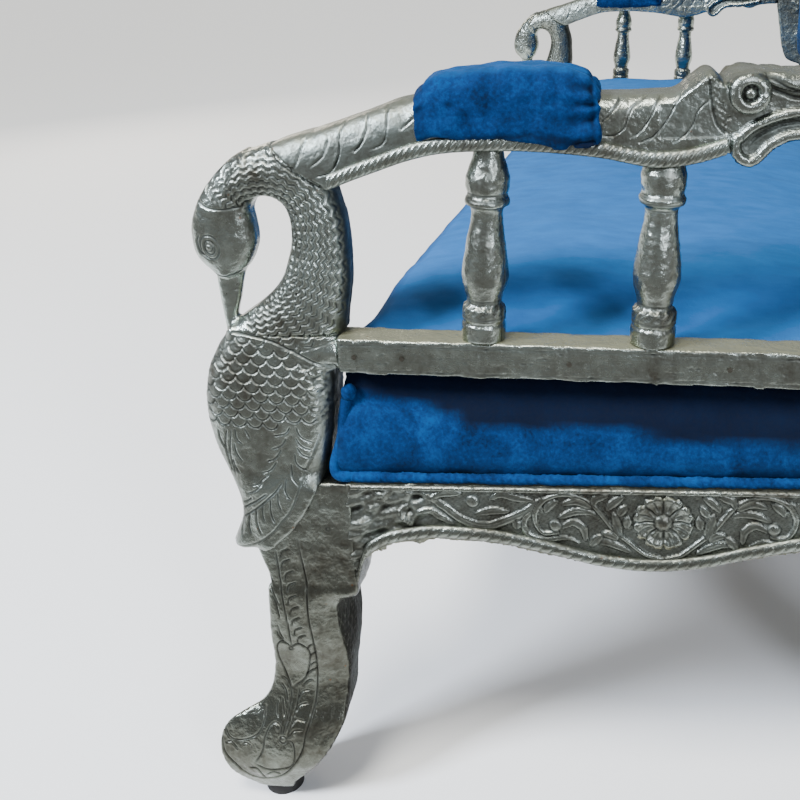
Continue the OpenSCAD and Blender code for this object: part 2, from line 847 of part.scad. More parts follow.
// Back: heights in the raked frame start at the lower arm rail's top
back_inset = stile_inset + stile_t;
stile_front = concat(
    [[block_y, deck_z]],
    smooth([
        [block_y, rail_z + 32], [wing_y + 20, rail_z + 44], [wing_y + 10, arm_z - 60], [wing_y + 5, arm_z - 22],
        [wing_y, arm_z + 15]
    ]),
    smooth([
        [wing_y, arm_z + 76], [wing_y + 3, arm_z + 130], [wing_y + 12, arm_z + 190], [wing_y + 26, stile_z - 95],
        [wing_y + 44, stile_z - 45], [wing_y + 64, stile_z - 12], [wing_y + 76, stile_z]
    ])
);
stile_foot_rear = back_y + stile_d;
stile_top_rear = stile_foot_rear + (stile_z - rail_z) * tan(rake);
stile_rear = [
    [stile_top_rear - 14, stile_z], [stile_top_rear - 6, stile_z - 4], [stile_top_rear - 2, stile_z - 14],
    [stile_foot_rear, rail_z], [stile_foot_rear, deck_z]
];

module back_stile(dir) {
    color(metal)
        on_side(dir)
            slab(-back_inset, -stile_inset)
                polygon(concat(stile_front, stile_rear));
}

back_low = -36;
back_high = (stile_z - crest_end_h - rail_z) / cos(rake);
crest_rise = (crest_z - rail_z) / cos(rake);
stile_rise = (stile_z - rail_z) / cos(rake);

// Keeps what lies between the two stiles
module trimmed() {
    intersection() {
        children();
        between(back_inset + gap, wing_y - 100, leg_end_y, 0, crest_z + 100);
    }
}

module back_bottom_rail() {
    color(metal)
        trimmed()
            raked()
                translate([-side_x, 0, back_low])
                    cube([2 * side_x, back_t, bottom_rail_h]);
}

crest_half = half_x(back_y, back_inset);
crest_top = smooth([
    [-crest_half - 40, stile_rise - 10], [-crest_half, stile_rise - 8], [-crest_half * 0.86, stile_rise - 2],
    [-crest_half * 0.66, stile_rise + 16], [-crest_half * 0.46, stile_rise + 24],
    [-crest_half * 0.3, stile_rise + 22], [-crest_half * 0.17, stile_rise + 34], [0, crest_rise],
    [crest_half * 0.17, stile_rise + 34], [crest_half * 0.3, stile_rise + 22],
    [crest_half * 0.46, stile_rise + 24], [crest_half * 0.66, stile_rise + 16],
    [crest_half * 0.86, stile_rise - 2], [crest_half, stile_rise - 8], [crest_half + 40, stile_rise - 10]
], 5);

module back_crest_rail() {
    color(metal) {
        trimmed()
            raked()
                cross_slab(0, back_t)
                    polygon(concat([[side_x, back_high], [-side_x, back_high]], crest_top));
        raked()
            translate([0, 0, crest_rise - flower_r - 16.5])
                rotate([90, 0, 0])
                    flower();
    }
}

// Back pad: rings of the crowned front, drawn in where it meets the board
pad_bottom = back_low + bottom_rail_h + gap;
pad_top = back_high - gap;
pad_gap = 1;
board_y = back_t - back_board_t - 8;
function back_half(z, inset) =
    half_x(back_y + z * sin(rake), back_inset + pad_gap) - inset;
function pad_outline(inset) = rounded([
    [-back_half(pad_bottom, inset), pad_bottom + inset], [back_half(pad_bottom, inset), pad_bottom + inset],
    [back_half(pad_top, inset), pad_top - inset], [-back_half(pad_top, inset), pad_top - inset]
], 14 + inset * 0.2, 4);
back_rings = concat(
    [
        [piping_d, board_y - gap], [piping_d, -piping_d], [1, -piping_d - 1], [0, -piping_d - 6],
        [4, -piping_d - 13], [16, -piping_d - 18]
    ],
    [
        for (k = [1 : crown_steps])
            let (t = k / crown_steps)
            [
                16 + t * ((pad_top - pad_bottom) / 2 - 34),
                -piping_d - 18 - (back_pad_t - piping_d - 18) * (1 - pow(1 - t, 2))
            ]
    ]
);

module back_pad() {
    color(velvet)
        raked()
            skin(
                [for (r = back_rings) [for (p = pad_outline(r[0])) [p[0], r[1], p[1]]]],
                [0, board_y - gap, (pad_bottom + pad_top) / 2],
                [0, -back_pad_t, (pad_bottom + pad_top) / 2]
            );
}

module back_piping() {
    z0 = pad_bottom + piping_r;
    z1 = pad_top - piping_r;
    color(velvet)
        raked()
            translate([0, -piping_r, 0])
                rotate([90, 0, 0])
                    cord(rounded([
                        [-back_half(z0, piping_r), z0], [back_half(z0, piping_r), z0],
                        [back_half(z1, piping_r), z1], [-back_half(z1, piping_r), z1]
                    ], piping_bend), piping_r);
}

module back_board() {
    color(wood)
        trimmed()
            raked()
                translate([-side_x, board_y, pad_bottom - gap])
                    cube([2 * side_x, back_board_t, pad_top - pad_bottom + 2 * gap]);
}

cloth_t = 1.2;
cloth_edge = 8;
module back_cloth() {
    color(velvet_dark)
        trimmed()
            raked()
                translate([-side_x, back_t, back_low + cloth_edge])
                    cube([2 * side_x, cloth_t, stile_rise - back_low - 5 * cloth_edge]);
}

leg(right, front);  // front_leg_right
leg(left, front);  // front_leg_left
leg(right, rear);  // rear_leg_right
leg(left, rear);  // rear_leg_left
foot_pad(right, front);  // foot_pad_front_right
foot_pad(left, front);  // foot_pad_front_left
foot_pad(right, rear);  // foot_pad_rear_right
foot_pad(left, rear);  // foot_pad_rear_left
bird_post(right);  // bird_post_right
bird_post(left);  // bird_post_left
arm_rail(right);  // arm_rail_right
arm_rail(left);  // arm_rail_left
arm_rope(right);  // arm_rope_right
arm_rope(left);  // arm_rope_left
lower_rail(right);  // lower_rail_right
lower_rail(left);  // lower_rail_left
spindle(right, spindle_front_y);  // front_spindle_right
spindle(left, spindle_front_y);  // front_spindle_left
spindle(right, spindle_rear_y);  // rear_spindle_right
spindle(left, spindle_rear_y);  // rear_spindle_left
arm_pad(right);  // arm_pad_right
arm_pad(left);  // arm_pad_left
side_apron(right);  // side_apron_right
side_apron(left);  // side_apron_left
cross_apron(front);  // front_apron
cross_apron(rear);  // rear_apron
side_apron_ropes(right);  // apron_ropes_right
side_apron_ropes(left);  // apron_ropes_left
cross_apron_ropes(front);  // apron_ropes_front
cross_apron_ropes(rear);  // apron_ropes_rear
side_seat_rail(right);  // side_seat_rail_right
side_seat_rail(left);  // side_seat_rail_left
cross_seat_rail(front);  // front_seat_rail
cross_seat_rail(rear);  // rear_seat_rail
corner_braces();
brace_screws();
seat_slats();
dust_cover();
seat_board();
seat_foam();
seat_cover();
seat_piping();
back_stile(right);  // back_stile_right
back_stile(left);  // back_stile_left
back_bottom_rail();
back_crest_rail();
back_board();
back_pad();
back_piping();
back_cloth();
rail_nails();
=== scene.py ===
"""Looks of the two-seat sofa: chased white metal over carved wood, and blue velvet.

The carved and the soft pieces are made anew over the solids of the frame; the rest keep their solids and
get a finish. Drawings are in millimetres, in the frame of the side, apron or back that they lie on.
"""

import json
import math
from contextlib import contextmanager

import bmesh
import bpy
import numpy as np
from mathutils import Matrix, Vector
from mathutils.kdtree import KDTree


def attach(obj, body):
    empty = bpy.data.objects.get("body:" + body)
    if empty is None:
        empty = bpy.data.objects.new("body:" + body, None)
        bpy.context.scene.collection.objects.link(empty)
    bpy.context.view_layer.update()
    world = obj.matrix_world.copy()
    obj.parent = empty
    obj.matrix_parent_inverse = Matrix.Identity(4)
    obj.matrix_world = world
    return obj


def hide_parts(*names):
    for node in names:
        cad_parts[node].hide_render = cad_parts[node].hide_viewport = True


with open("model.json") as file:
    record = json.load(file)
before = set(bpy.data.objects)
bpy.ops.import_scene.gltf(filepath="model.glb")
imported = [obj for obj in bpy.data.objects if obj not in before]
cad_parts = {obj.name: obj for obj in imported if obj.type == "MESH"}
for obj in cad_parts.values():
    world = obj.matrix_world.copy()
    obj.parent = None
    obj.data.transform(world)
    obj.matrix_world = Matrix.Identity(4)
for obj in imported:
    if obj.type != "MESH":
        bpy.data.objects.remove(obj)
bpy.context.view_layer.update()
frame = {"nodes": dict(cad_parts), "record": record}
MM = 0.001

# Side frame, as in the part's source: x outwards from the arm's outer face, y to the back, z up
SPLAY = math.radians(5.7)
SIDE_X = 762.0
PIVOT = 21.5


# Numbers and places

def to_side(points):
    """World millimetres to the right side's own frame."""
    x = points[:, 0] - (SIDE_X - PIVOT)
    y = points[:, 1]
    along = x * math.cos(SPLAY) + y * math.sin(SPLAY) - PIVOT
    back = -x * math.sin(SPLAY) + y * math.cos(SPLAY)
    return np.column_stack([along, back, points[:, 2]])


def from_side(points):
    """The right side's own frame to world millimetres."""
    x = points[:, 0] + PIVOT
    y = points[:, 1]
    return np.column_stack([
        SIDE_X - PIVOT + x * math.cos(SPLAY) - y * math.sin(SPLAY),
        x * math.sin(SPLAY) + y * math.cos(SPLAY),
        points[:, 2],
    ])


SIDE = (to_side, from_side)


def coordinates(mesh):
    """Vertices of a mesh in world millimetres."""
    flat = np.empty(len(mesh.vertices) * 3)
    mesh.vertices.foreach_get("co", flat)
    return flat.reshape(-1, 3) / MM


def set_coordinates(mesh, points):
    mesh.vertices.foreach_set("co", (points * MM).ravel())
    mesh.update()


def normals(mesh):
    flat = np.empty(len(mesh.vertices) * 3)
    mesh.vertex_normals.foreach_get("vector", flat)
    return flat.reshape(-1, 3)


def smoothstep(low, high, value):
    """0 at low and beyond it, 1 at high and beyond it, smooth between."""
    t = np.clip((value - low) / (high - low), 0, 1)
    return t * t * (3 - 2 * t)


def ripple(points, size, seed=0):
    """Smooth bumps from -1 to 1 about size millimetres across, the same each run."""
    total = np.zeros(len(points))
    turn = np.random.RandomState(seed)
    for _ in range(7):
        way = turn.normal(size=3)
        way /= np.linalg.norm(way)
        pace = 2 * math.pi / size * turn.uniform(0.6, 1.5)
        total += np.sin(points @ way * pace + turn.uniform(0, 6.3))
    return total / 3.5


# Materials

def linear(hex_colour):
    """sRGB hex to the linear colour that a shader takes."""
    parts = [int(hex_colour[i:i + 2], 16) / 255 for i in (1, 3, 5)]
    return tuple(c / 12.92 if c <= 0.04045 else ((c + 0.055) / 1.055) ** 2.4 for c in parts) + (1.0,)


def add(tree, kind, settings=None, **links):
    """Adds a node, gives it its settings, and links or sets its inputs by name."""
    made = tree.nodes.new(kind)
    for name, value in (settings or {}).items():
        setattr(made, name, value)
    for name, value in links.items():
        key = int(name[1:]) if name[0] == "i" and name[1:].isdigit() else name.replace("_", " ")
        socket = made.inputs[key]
        if isinstance(value, bpy.types.NodeSocket):
            tree.links.new(value, socket)
        else:
            socket.default_value = value
    return made


def new_material(name):
    made = bpy.data.materials.new(name)
    made.use_nodes = True
    tree = made.node_tree
    tree.nodes.clear()
    return made, tree


def ramp(tree, factor, stops):
    """Colour ramp through (place, hex) stops."""
    made = add(tree, "ShaderNodeValToRGB", Fac=factor)
    band = made.color_ramp
    while len(band.elements) < len(stops):
        band.elements.new(0.5)
    for element, (place, colour) in zip(band.elements, stops):
        element.position = place
        element.color = linear(colour)
    return made.outputs["Color"]


def mix_colour(tree, factor, first, second, blend="MIX"):
    kind = {"data_type": "RGBA", "blend_type": blend}
    return add(tree, "ShaderNodeMix", kind, Factor=factor, i6=first, i7=second).outputs[2]


def scalar(tree, operation, first, second=0.0, clamp=False):
    kind = {"operation": operation, "use_clamp": clamp}
    return add(tree, "ShaderNodeMath", kind, i0=first, i1=second).outputs[0]


def own_place(tree):
    """Place on the piece, in metres."""
    return add(tree, "ShaderNodeTexCoord").outputs["Object"]


def stretched(tree, place, scale):
    return add(tree, "ShaderNodeMapping", Vector=place, Scale=scale).outputs[0]


def noise(tree, place, size, **more):
    """Noise with blots about size millimetres across."""
    return add(tree, "ShaderNodeTexNoise", Vector=place, Scale=1000 / size, **more).outputs["Fac"]


def ranged(tree, value, start, end, low, high):
    """Value from start to end, made low to high."""
    return add(tree, "ShaderNodeMapRange", Value=value, i1=start, i2=end, i3=low, i4=high).outputs[0]


def painted(tree, name):
    """Share that the mesh carries at each vertex."""
    return add(tree, "ShaderNodeAttribute", {"attribute_name": name}).outputs["Fac"]


def weighed(tree, *parts):
    """Sum of values, each by its weight."""
    total = None
    for value, weight in parts:
        part = scalar(tree, "MULTIPLY", value, weight)
        total = part if total is None else scalar(tree, "ADD", total, part)
    return total


def bumped(tree, height, strength, deep):
    return add(tree, "ShaderNodeBump", Strength=strength, Distance=deep, Height=height).outputs[0]


def finished(made, tree, **inputs):
    """Closes a material with one shader."""
    shader = add(tree, "ShaderNodeBsdfPrincipled", **inputs)
    end = tree.nodes.new("ShaderNodeOutputMaterial")
    tree.links.new(shader.outputs["BSDF"], end.inputs["Surface"])
    return made


# Heights, in metres, from which painted shade darkens the metal downwards, as the light falls from above,
# and where it is darkest
LOW_SHADE_FROM = 0.36
LOW_SHADE_FULL = 0.2
LOW_SHADE = "#8A8176"
WARM_TONE = "#8F8E74"
RUST = "#6E4420"
# Rust spots: millimetres apart, and their radius as a share of that
RUST_STEP = 24
RUST_SPOT = 0.04


def white_metal(name, bright, middle, dull, groove, rough, cell=18):
    """White metal sheet beaten over carved wood: satin, uneven, with dark polish left in chased lines and
    painted shade lower down.
    """
    made, tree = new_material(name)
    place = own_place(tree)
    patches = noise(tree, place, 70, Detail=5.0, Roughness=0.62)
    fine = noise(tree, place, 9, Detail=6.0, Roughness=0.7)
    streak = noise(tree, stretched(tree, place, (1.0, 1.0, 0.14)), 12, Detail=4.0, Roughness=0.6)
    blend = weighed(tree, (patches, 0.56), (fine, 0.36), (streak, 0.08))
    colour = ramp(tree, blend, [(0.36, dull), (0.5, middle), (0.64, bright)])
    up = add(tree, "ShaderNodeSeparateXYZ", Vector=place).outputs["Z"]
    # Painted shade: the metal darkens towards the floor, away from the light above
    low = ranged(tree, up, LOW_SHADE_FROM, LOW_SHADE_FULL, 0.0, 0.75)
    colour = mix_colour(tree, low, colour, linear(LOW_SHADE), "MULTIPLY")
    warm = painted(tree, "warm")
    colour = mix_colour(tree, warm, colour, linear(WARM_TONE))
    dark = painted(tree, "groove")
    colour = mix_colour(tree, scalar(tree, "MULTIPLY", dark, 0.9, True), colour, linear(groove))
    spots = add(tree, "ShaderNodeTexVoronoi", Vector=place, Scale=1000 / RUST_STEP, Randomness=1.0)
    rust = scalar(tree, "LESS_THAN", spots.outputs["Distance"], RUST_SPOT)
    colour = mix_colour(tree, scalar(tree, "MULTIPLY", rust, 0.5), colour, linear(RUST))
    worn = ranged(tree, blend, 0.35, 0.65, rough + 0.14, rough - 0.06)
    roughness = scalar(tree, "ADD", worn, scalar(tree, "MULTIPLY", dark, 0.4), True)
    metallic = scalar(tree, "SUBTRACT", 1.0, scalar(tree, "MULTIPLY", warm, 0.5), True)
    dents = noise(tree, place, cell, Detail=3.0, Roughness=0.55)
    height = scalar(tree, "ADD", dents, scalar(tree, "MULTIPLY", fine, 0.45))
    return finished(
        made, tree, Base_Color=colour, Metallic=metallic, Roughness=roughness,
        Normal=bumped(tree, height, 0.6, 0.0026),
    )


def plain_wood(name, light, dark):
    """Oiled hardwood, sawn: grain lines along the board and open pores."""
    made, tree = new_material(name)
    drawn = stretched(tree, own_place(tree), (0.12, 1.0, 1.0))
    grain = noise(tree, drawn, 14, Detail=8.0, Roughness=0.65, Distortion=0.6)
    pores = noise(tree, drawn, 2.2, Detail=2.0)
    return finished(
        made, tree, Base_Color=ramp(tree, grain, [(0.3, dark), (0.55, light), (0.75, dark)]),
        Roughness=ranged(tree, grain, 0.3, 0.7, 0.5, 0.68), Normal=bumped(tree, pores, 0.3, 0.0008),
    )


# Velvet's painted light on upward faces, its painted shade in folds and under the arm rail, and the tint
# of its sheen
TOP_LIGHT_PILE = "#2E68A4"
SHADED_PILE = "#060D1E"
SHEEN = "#5FA6E4"


def velvet(name, bright, middle, deep):
    """Short-pile velvet: mottled as the pile lies, with painted light making upward faces pale and
    painted shade darkening folds and the seat's side under the arm rail.
    """
    made, tree = new_material(name)
    place = own_place(tree)
    nap = noise(tree, place, 38, Detail=6.0, Roughness=0.68, Distortion=0.5)
    tuft = noise(tree, place, 3.2, Detail=3.0, Roughness=0.7)
    both = weighed(tree, (nap, 0.62), (tuft, 0.38))
    colour = ramp(tree, both, [(0.36, deep), (0.5, middle), (0.64, bright)])
    streak = noise(tree, stretched(tree, place, (1.0, 0.45, 1.0)), 15, Detail=4.0, Roughness=0.6)
    share = ranged(tree, streak, 0.35, 0.65, 0.75, 1.0)
    # Painted light: faces turned up are paler
    pale = scalar(tree, "MULTIPLY", painted(tree, "pale"), share, True)
    colour = mix_colour(tree, pale, colour, linear(TOP_LIGHT_PILE))
    # Painted shade: darker in folds, puckers and seams, and under the arm rail
    painted_shade = scalar(tree, "MULTIPLY", painted(tree, "groove"), 0.95, True)
    colour = mix_colour(tree, painted_shade, colour, linear(SHADED_PILE))
    return finished(
        made, tree, Base_Color=colour, Roughness=ranged(tree, tuft, 0.3, 0.7, 0.78, 0.95),
        Normal=bumped(tree, both, 0.5, 0.0012), Sheen_Weight=0.12, Sheen_Roughness=0.45,
        Sheen_Tint=linear(SHEEN), Specular_IOR_Level=0.1,
    )


def threads(tree, place, thread, way):
    """Waves across the cloth, 2 pi times thread millimetres apart along one axis."""
    kind = {"bands_direction": way}
    made = add(tree, "ShaderNodeTexWave", kind, Vector=place, Scale=1000 / thread / 20, Distortion=0.4)
    return made.outputs["Fac"]


def woven(name, light, dark, thread=1.6):
    """Plain woven cloth: threads over and under, drawn coarse enough to show."""
    made, tree = new_material(name)
    place = own_place(tree)
    weave = scalar(tree, "MULTIPLY", threads(tree, place, thread, "X"), threads(tree, place, thread, "Z"))
    blotch = noise(tree, place, 60, Detail=4.0)
    both = weighed(tree, (weave, 0.5), (blotch, 0.6))
    return finished(
        made, tree, Base_Color=ramp(tree, both, [(0.2, dark), (0.8, light)]),
        Roughness=ranged(tree, blotch, 0.3, 0.7, 0.75, 0.92), Normal=bumped(tree, weave, 0.4, 0.0006),
    )


SHEET = white_metal("beaten_white_metal", "#B6C2BA", "#8F958C", "#5E5C52", "#100E0B", 0.22)
MOULDING = white_metal("worn_white_metal", "#BAC6BE", "#959B91", "#66645A", "#120F0B", 0.2, 30)
IRON = white_metal("dull_nail_iron", "#6A675E", "#56534A", "#3C3930", "#1E1712", 0.5, 6)
WOOD = plain_wood("oiled_hardwood", "#8C6844", "#5E4128")
VELVET = velvet("blue_velvet", "#0A4278", "#052D5A", "#021835")
LINING = woven("woven_lining", "#1F4F86", "#12335E")
DUST_CLOTH = woven("dust_cloth", "#2C2C30", "#141416", 2.4)
FOAM = woven("seat_foam", "#DCCFA6", "#B8A878", 3.0)
RUBBER = woven("foot_rubber", "#1E1A16", "#0F0D0B", 5.0)

FINISHES = {
    "metal_sheet": SHEET,
    "metal_moulding": MOULDING,
    "screw_steel": IRON,
    "wood": WOOD,
    "velvet": VELVET,
    "back_velvet": LINING,
    "black_cloth": DUST_CLOTH,
    "foam": FOAM,
    "foot_rubber": RUBBER,
}
SLOT_OF = {part["node"]: part["material_slot"] for part in frame["record"]["subparts"]}


def finish_nodes():
    """Every CAD node gets its own finish; dressed pieces then take the place of most of them."""
    for name, node in frame["nodes"].items():
        node.data.materials.clear()
        node.data.materials.append(FINISHES[SLOT_OF[name]])


# Making pieces

@contextmanager
def edited(mesh):
    """A mesh opened for editing, and written back afterwards."""
    work = bmesh.new()
    work.from_mesh(mesh)
    yield work
    work.to_mesh(mesh)
    work.free()
    mesh.update()


def merged_copy(node, name):
    """Copy of a CAD node's mesh with its loose triangles joined."""
    mesh = bpy.data.meshes.new(name)
    with edited(mesh) as work:
        work.from_mesh(frame["nodes"][node].data)
        bmesh.ops.remove_doubles(work, verts=work.verts, dist=0.02 * MM)
    return mesh


def object_of(mesh, name):
    """Puts a mesh or a curve into the scene."""
    made = bpy.data.objects.new(name, mesh)
    bpy.context.scene.collection.objects.link(made)
    return made


def applied(made):
    """Applies all modifiers of an object and returns its final mesh."""
    graph = bpy.context.evaluated_depsgraph_get()
    final = bpy.data.meshes.new_from_object(made.evaluated_get(graph))
    made.modifiers.clear()
    made.data = final
    return final


def remeshed(made, voxel):
    """Even quads over the piece, voxel millimetres across."""
    step = made.modifiers.new("even", "REMESH")
    step.mode = "VOXEL"
    step.voxel_size = voxel * MM
    return applied(made)


def shade(mesh, material):
    """Gives a mesh its one material and smooth faces."""
    mesh.materials.clear()
    mesh.materials.append(material)
    mesh.polygons.foreach_set("use_smooth", [True] * len(mesh.polygons))
    mesh.update()


def set_attribute(mesh, name, values):
    layer = mesh.attributes.get(name) or mesh.attributes.new(name, "FLOAT", "POINT")
    layer.data.foreach_set("value", np.asarray(values, np.float32))


def join_up(made, node):
    """Puts a finished piece on the sofa in place of its CAD node."""
    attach(made, "root")
    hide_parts(node)


def mirrored(made, name):
    """Left-hand copy of a right-hand piece."""
    mesh = made.data.copy()
    with edited(mesh) as work:
        bmesh.ops.scale(work, vec=(-1, 1, 1), verts=work.verts)
        bmesh.ops.reverse_faces(work, faces=work.faces)
    return object_of(mesh, name)


def turned_back(made, name):
    """Rear copy of a right front piece, mirrored in the side's own frame."""
    rear = mirrored(made, name)
    own = to_side(coordinates(made.data))
    own[:, 1] *= -1
    set_coordinates(rear.data, from_side(own))
    return rear


# Wear that every beaten sheet has, in millimetres
DENT_SIZE = 26.0
DENT_DEPTH = 0.3


def softened(mesh, times):
    """Rounds off the corners left by the even mesh."""
    every_way = {"use_axis_x": True, "use_axis_y": True, "use_axis_z": True}
    with edited(mesh) as work:
        for _ in range(times):
            bmesh.ops.smooth_vert(work, verts=work.verts, factor=0.5, **every_way)


def in_drawing(mesh, frame_in):
    """Vertices of a mesh in its drawing's frame, and the way that each one faces there."""
    world = coordinates(mesh)
    own = frame_in(world)
    return own, frame_in(world + normals(mesh)) - own


def finer_face(mesh, frame_in, facing):
    """Halves the mesh where the chased work shows: on faces turned out of the drawing."""
    _, tips = in_drawing(mesh, frame_in)
    out = tips[:, 0]
    with edited(mesh) as work:
        faces = [f for f in work.faces if min(out[v.index] for v in f.verts) > facing]
        edges = list({e for f in faces for e in f.edges})
        bmesh.ops.subdivide_edges(work, edges=edges, cuts=1, use_grid_fill=True)


def dented(own, tips, height):
    """Places moved by height along their normals, with the dents of beaten sheet."""
    return own + tips * (height + ripple(own, DENT_SIZE, 3) * DENT_DEPTH)[:, None]


def carved(node, voxel, relief, facing=None, shape=None, soften=0, frames=SIDE, material=SHEET):
    """Metal piece: an even mesh over the CAD form, rounded by shape, with its chased work moved into it.

    shape gives new vertices in the piece's own frame. relief gives how far each vertex moves along its
    normal, or new vertices, with how dark its groove is and how warm its tone is. The mesh is made finer
    on faces turned out of the drawing by more than facing.
    """
    frame_in, frame_out = frames
    made = object_of(merged_copy(node, node + "_clad"), node + "_clad")
    mesh = remeshed(made, voxel)
    if shape:
        set_coordinates(mesh, frame_out(shape(*in_drawing(mesh, frame_in))))
        softened(mesh, soften)
    if facing:
        finer_face(mesh, frame_in, facing)
    own, tips = in_drawing(mesh, frame_in)
    moved, groove, warm = relief(own, tips)
    if moved.ndim == 1:
        moved = dented(own, tips, moved)
    set_coordinates(mesh, frame_out(moved))
    set_attribute(mesh, "groove", np.clip(groove, 0, 1))
    set_attribute(mesh, "warm", np.clip(warm, 0, 1))
    shade(mesh, material)
    return made


def upward_warmth(tips, low=0.55, amount=0.75):
    """Top faces take a warm tone."""
    return smoothstep(low, 0.95, tips[:, 2]) * amount


def plain_relief(own, tips):
    """Sheet with no chased work."""
    return np.zeros(len(own)), np.zeros(len(own)), upward_warmth(tips)


# Carving

def curve(points, step=1.2):
    """Evenly spaced points along the smooth curve through the given ones."""
    p = np.array(points, float)
    ends = np.vstack([2 * p[0] - p[1], p, 2 * p[-1] - p[-2]])
    pieces = []
    for a, b, c, d in zip(ends, ends[1:], ends[2:], ends[3:]):
        count = max(2, int(np.linalg.norm(c - b) / step))
        t = np.arange(count)[:, None] / count
        pieces.append(0.5 * (2 * b + (c - a) * t + (2 * a - 5 * b + 4 * c - d) * t ** 2
                             + (3 * b - a - 3 * c + d) * t ** 3))
    return np.vstack(pieces + [p[-1:]])


def near_line(places, line, reach):
    """Places within reach of a drawn line, how far they are from it, and their share of its length."""
    inside = np.flatnonzero(((places > line.min(0) - reach) & (places < line.max(0) + reach)).all(1))
    spot = places[inside]
    gap = np.full(len(spot), np.inf)
    share = np.zeros(len(spot))
    steps = np.diff(line, axis=0)
    sizes = np.linalg.norm(steps, axis=1) + 1e-9
    done = np.cumsum(sizes) - sizes
    for start, step, size, before in zip(line, steps, sizes, done):
        t = np.clip((spot - start) @ step / size ** 2, 0, 1)
        here = np.linalg.norm(spot - start - t[:, None] * step, axis=1)
        closer = here < gap
        gap[closer] = here[closer]
        share[closer] = (before + t[closer] * size) / sizes.sum()
    return inside, gap, share


class Carving:
    """Height of the chased work over a flat drawing, and how dark its grooves are."""

    def __init__(self, places, ground=0.0):
        self.places = places
        self.height = np.zeros(len(places))
        self.groove = np.full(len(places), ground)

    def clear(self, inside):
        """Smooth again where inside is true."""
        self.height[inside] = 0
        self.groove[inside] = 0

    def cut_all(self, lines, deep, wide):
        for line in lines:
            self.cut(line, deep, wide)

    def cut(self, points, deep, wide, dark=1.0):
        """A chased line, with the metal pushed up a little beside it."""
        line = curve(points)
        at, gap, share = near_line(self.places, line, 3 * wide)
        ends = np.clip(np.minimum(share, 1 - share) * 9 + 0.3, 0, 1)
        mark = np.exp(-(gap / wide) ** 2) * ends
        lip = np.exp(-((gap - 1.9 * wide) / (0.7 * wide)) ** 2) * ends
        self.height[at] += deep * (0.16 * lip - mark)
        self.groove[at] = np.maximum(self.groove[at], mark ** 1.2 * dark)

    def ridge(self, points, high, wide, pointed=True, crease=0.0):
        """A raised stem or leaf, domed across, with a crease along it and a dark line round its foot."""
        line = curve(points)
        at, gap, share = near_line(self.places, line, wide + 2.5)
        half = np.full(len(at), wide)
        if pointed:
            half = wide * np.sqrt(np.clip(np.sin(math.pi * np.clip(share * 0.96 + 0.02, 0, 1)), 0.02, 1))
        dome = high * np.sqrt(np.clip(1 - (gap / half) ** 2, 0, 1))
        dome -= crease * np.exp(-(gap / 0.7) ** 2) * (dome > 0)
        higher = dome > self.height[at]
        foot = np.exp(-((gap - half) / 0.9) ** 2)
        crown = crease * np.exp(-(gap / 0.8) ** 2) * 0.8
        on_top = np.minimum(self.groove[at] * 0.05 + crown, 1)
        self.groove[at] = np.where(dome > 0.3 * high, on_top, np.maximum(self.groove[at], foot))
        self.height[at] = np.where(higher, dome, self.height[at])

    def boss(self, middle, radius, high):
        """A round knob with a dark line round its foot."""
        gap = np.linalg.norm(self.places - np.array(middle, float), axis=1)
        dome = high * np.sqrt(np.clip(1 - (gap / radius) ** 2, 0, 1))
        self.height = np.where(gap < radius, np.maximum(self.height, dome), self.height)
        foot = np.exp(-((gap - radius) / 0.8) ** 2)
        bare = np.where(gap < radius * 0.85, self.groove * 0.1, self.groove)
        self.groove = np.maximum(bare, foot * 0.9)

    def hatch(self, inside, size, deep, dark):
        """Stippled ground where inside is true."""
        grain = np.clip(ripple(np.column_stack([self.places, self.places[:, 0] * 0.3]), size, 1), -1, 1)
        self.height += np.where(inside, deep * grain, 0)
        self.groove = np.where(inside, np.maximum(self.groove, dark * (0.6 - 0.4 * grain)), self.groove)


def ring_line(middle, across, up, turn=0.0):
    """Points of an ellipse, turned by turn degrees."""
    angles = np.radians(np.arange(0, 361, 30))
    c, s = math.cos(math.radians(turn)), math.sin(math.radians(turn))
    flat = np.column_stack([across * np.cos(angles), up * np.sin(angles)])
    return flat @ np.array([[c, s], [-s, c]]) + np.array(middle, float)


def level(line, at):
    """Height of a drawn line at each place along."""
    along, up = np.array(line, float).T
    return np.interp(at, along, up)


def level_across(line, up):
    """Place along of an upright drawn line, drawn from its top, at each height."""
    along, height = np.array(line[::-1], float).T
    return np.interp(up, height, along)


def stippled(own, ground, size, dark):
    """A drawing with stippled ground all over, on which the carving stands."""
    work = Carving(own[:, 1:], ground)
    work.hatch(np.ones(len(own), bool), size, 0.35, dark)
    return work


def along_and_across(line, at, reach):
    """Way that a line runs at one of its points, and the way across it."""
    way = line[min(at + reach, len(line) - 1)] - line[max(at - reach, 0)]
    way /= np.linalg.norm(way)
    return way, np.array([-way[1], way[0]])


# Bird: places along and up the right side, in millimetres
BIRD_MIDDLE = -27.0
NECK_HALF = 23.0
BODY_HALF = 30.0
# Where the bird's outline meets other pieces, so that it isn't rounded off there
BIRD_JOINTS = [((-284, 583), (-238, 558)), ((-242, 442), (-242, 404)), ((-318, 313), (-238, 313)),
               ((-315, 316), (-315, 204)), ((-238, 318), (-238, 204))]
# How much higher the crown stands than in the solids, along the side
CROWN_LIFT = [(-335, 0), (-326, 2), (-317, 4), (-308, 5.5), (-298, 8), (-290, 9), (-283, 8), (-275, 6.5),
              (-262, 3), (-250, 0)]
# Strokes on the neck: reach to each side of its middle, rows apart, strokes apart, length and bulge
NECK_REACH = 30
STROKE_ROW = 8
STROKE_GAP = 5.2
STROKE_LENGTH = 9.4
STROKE_BULGE = 3.1
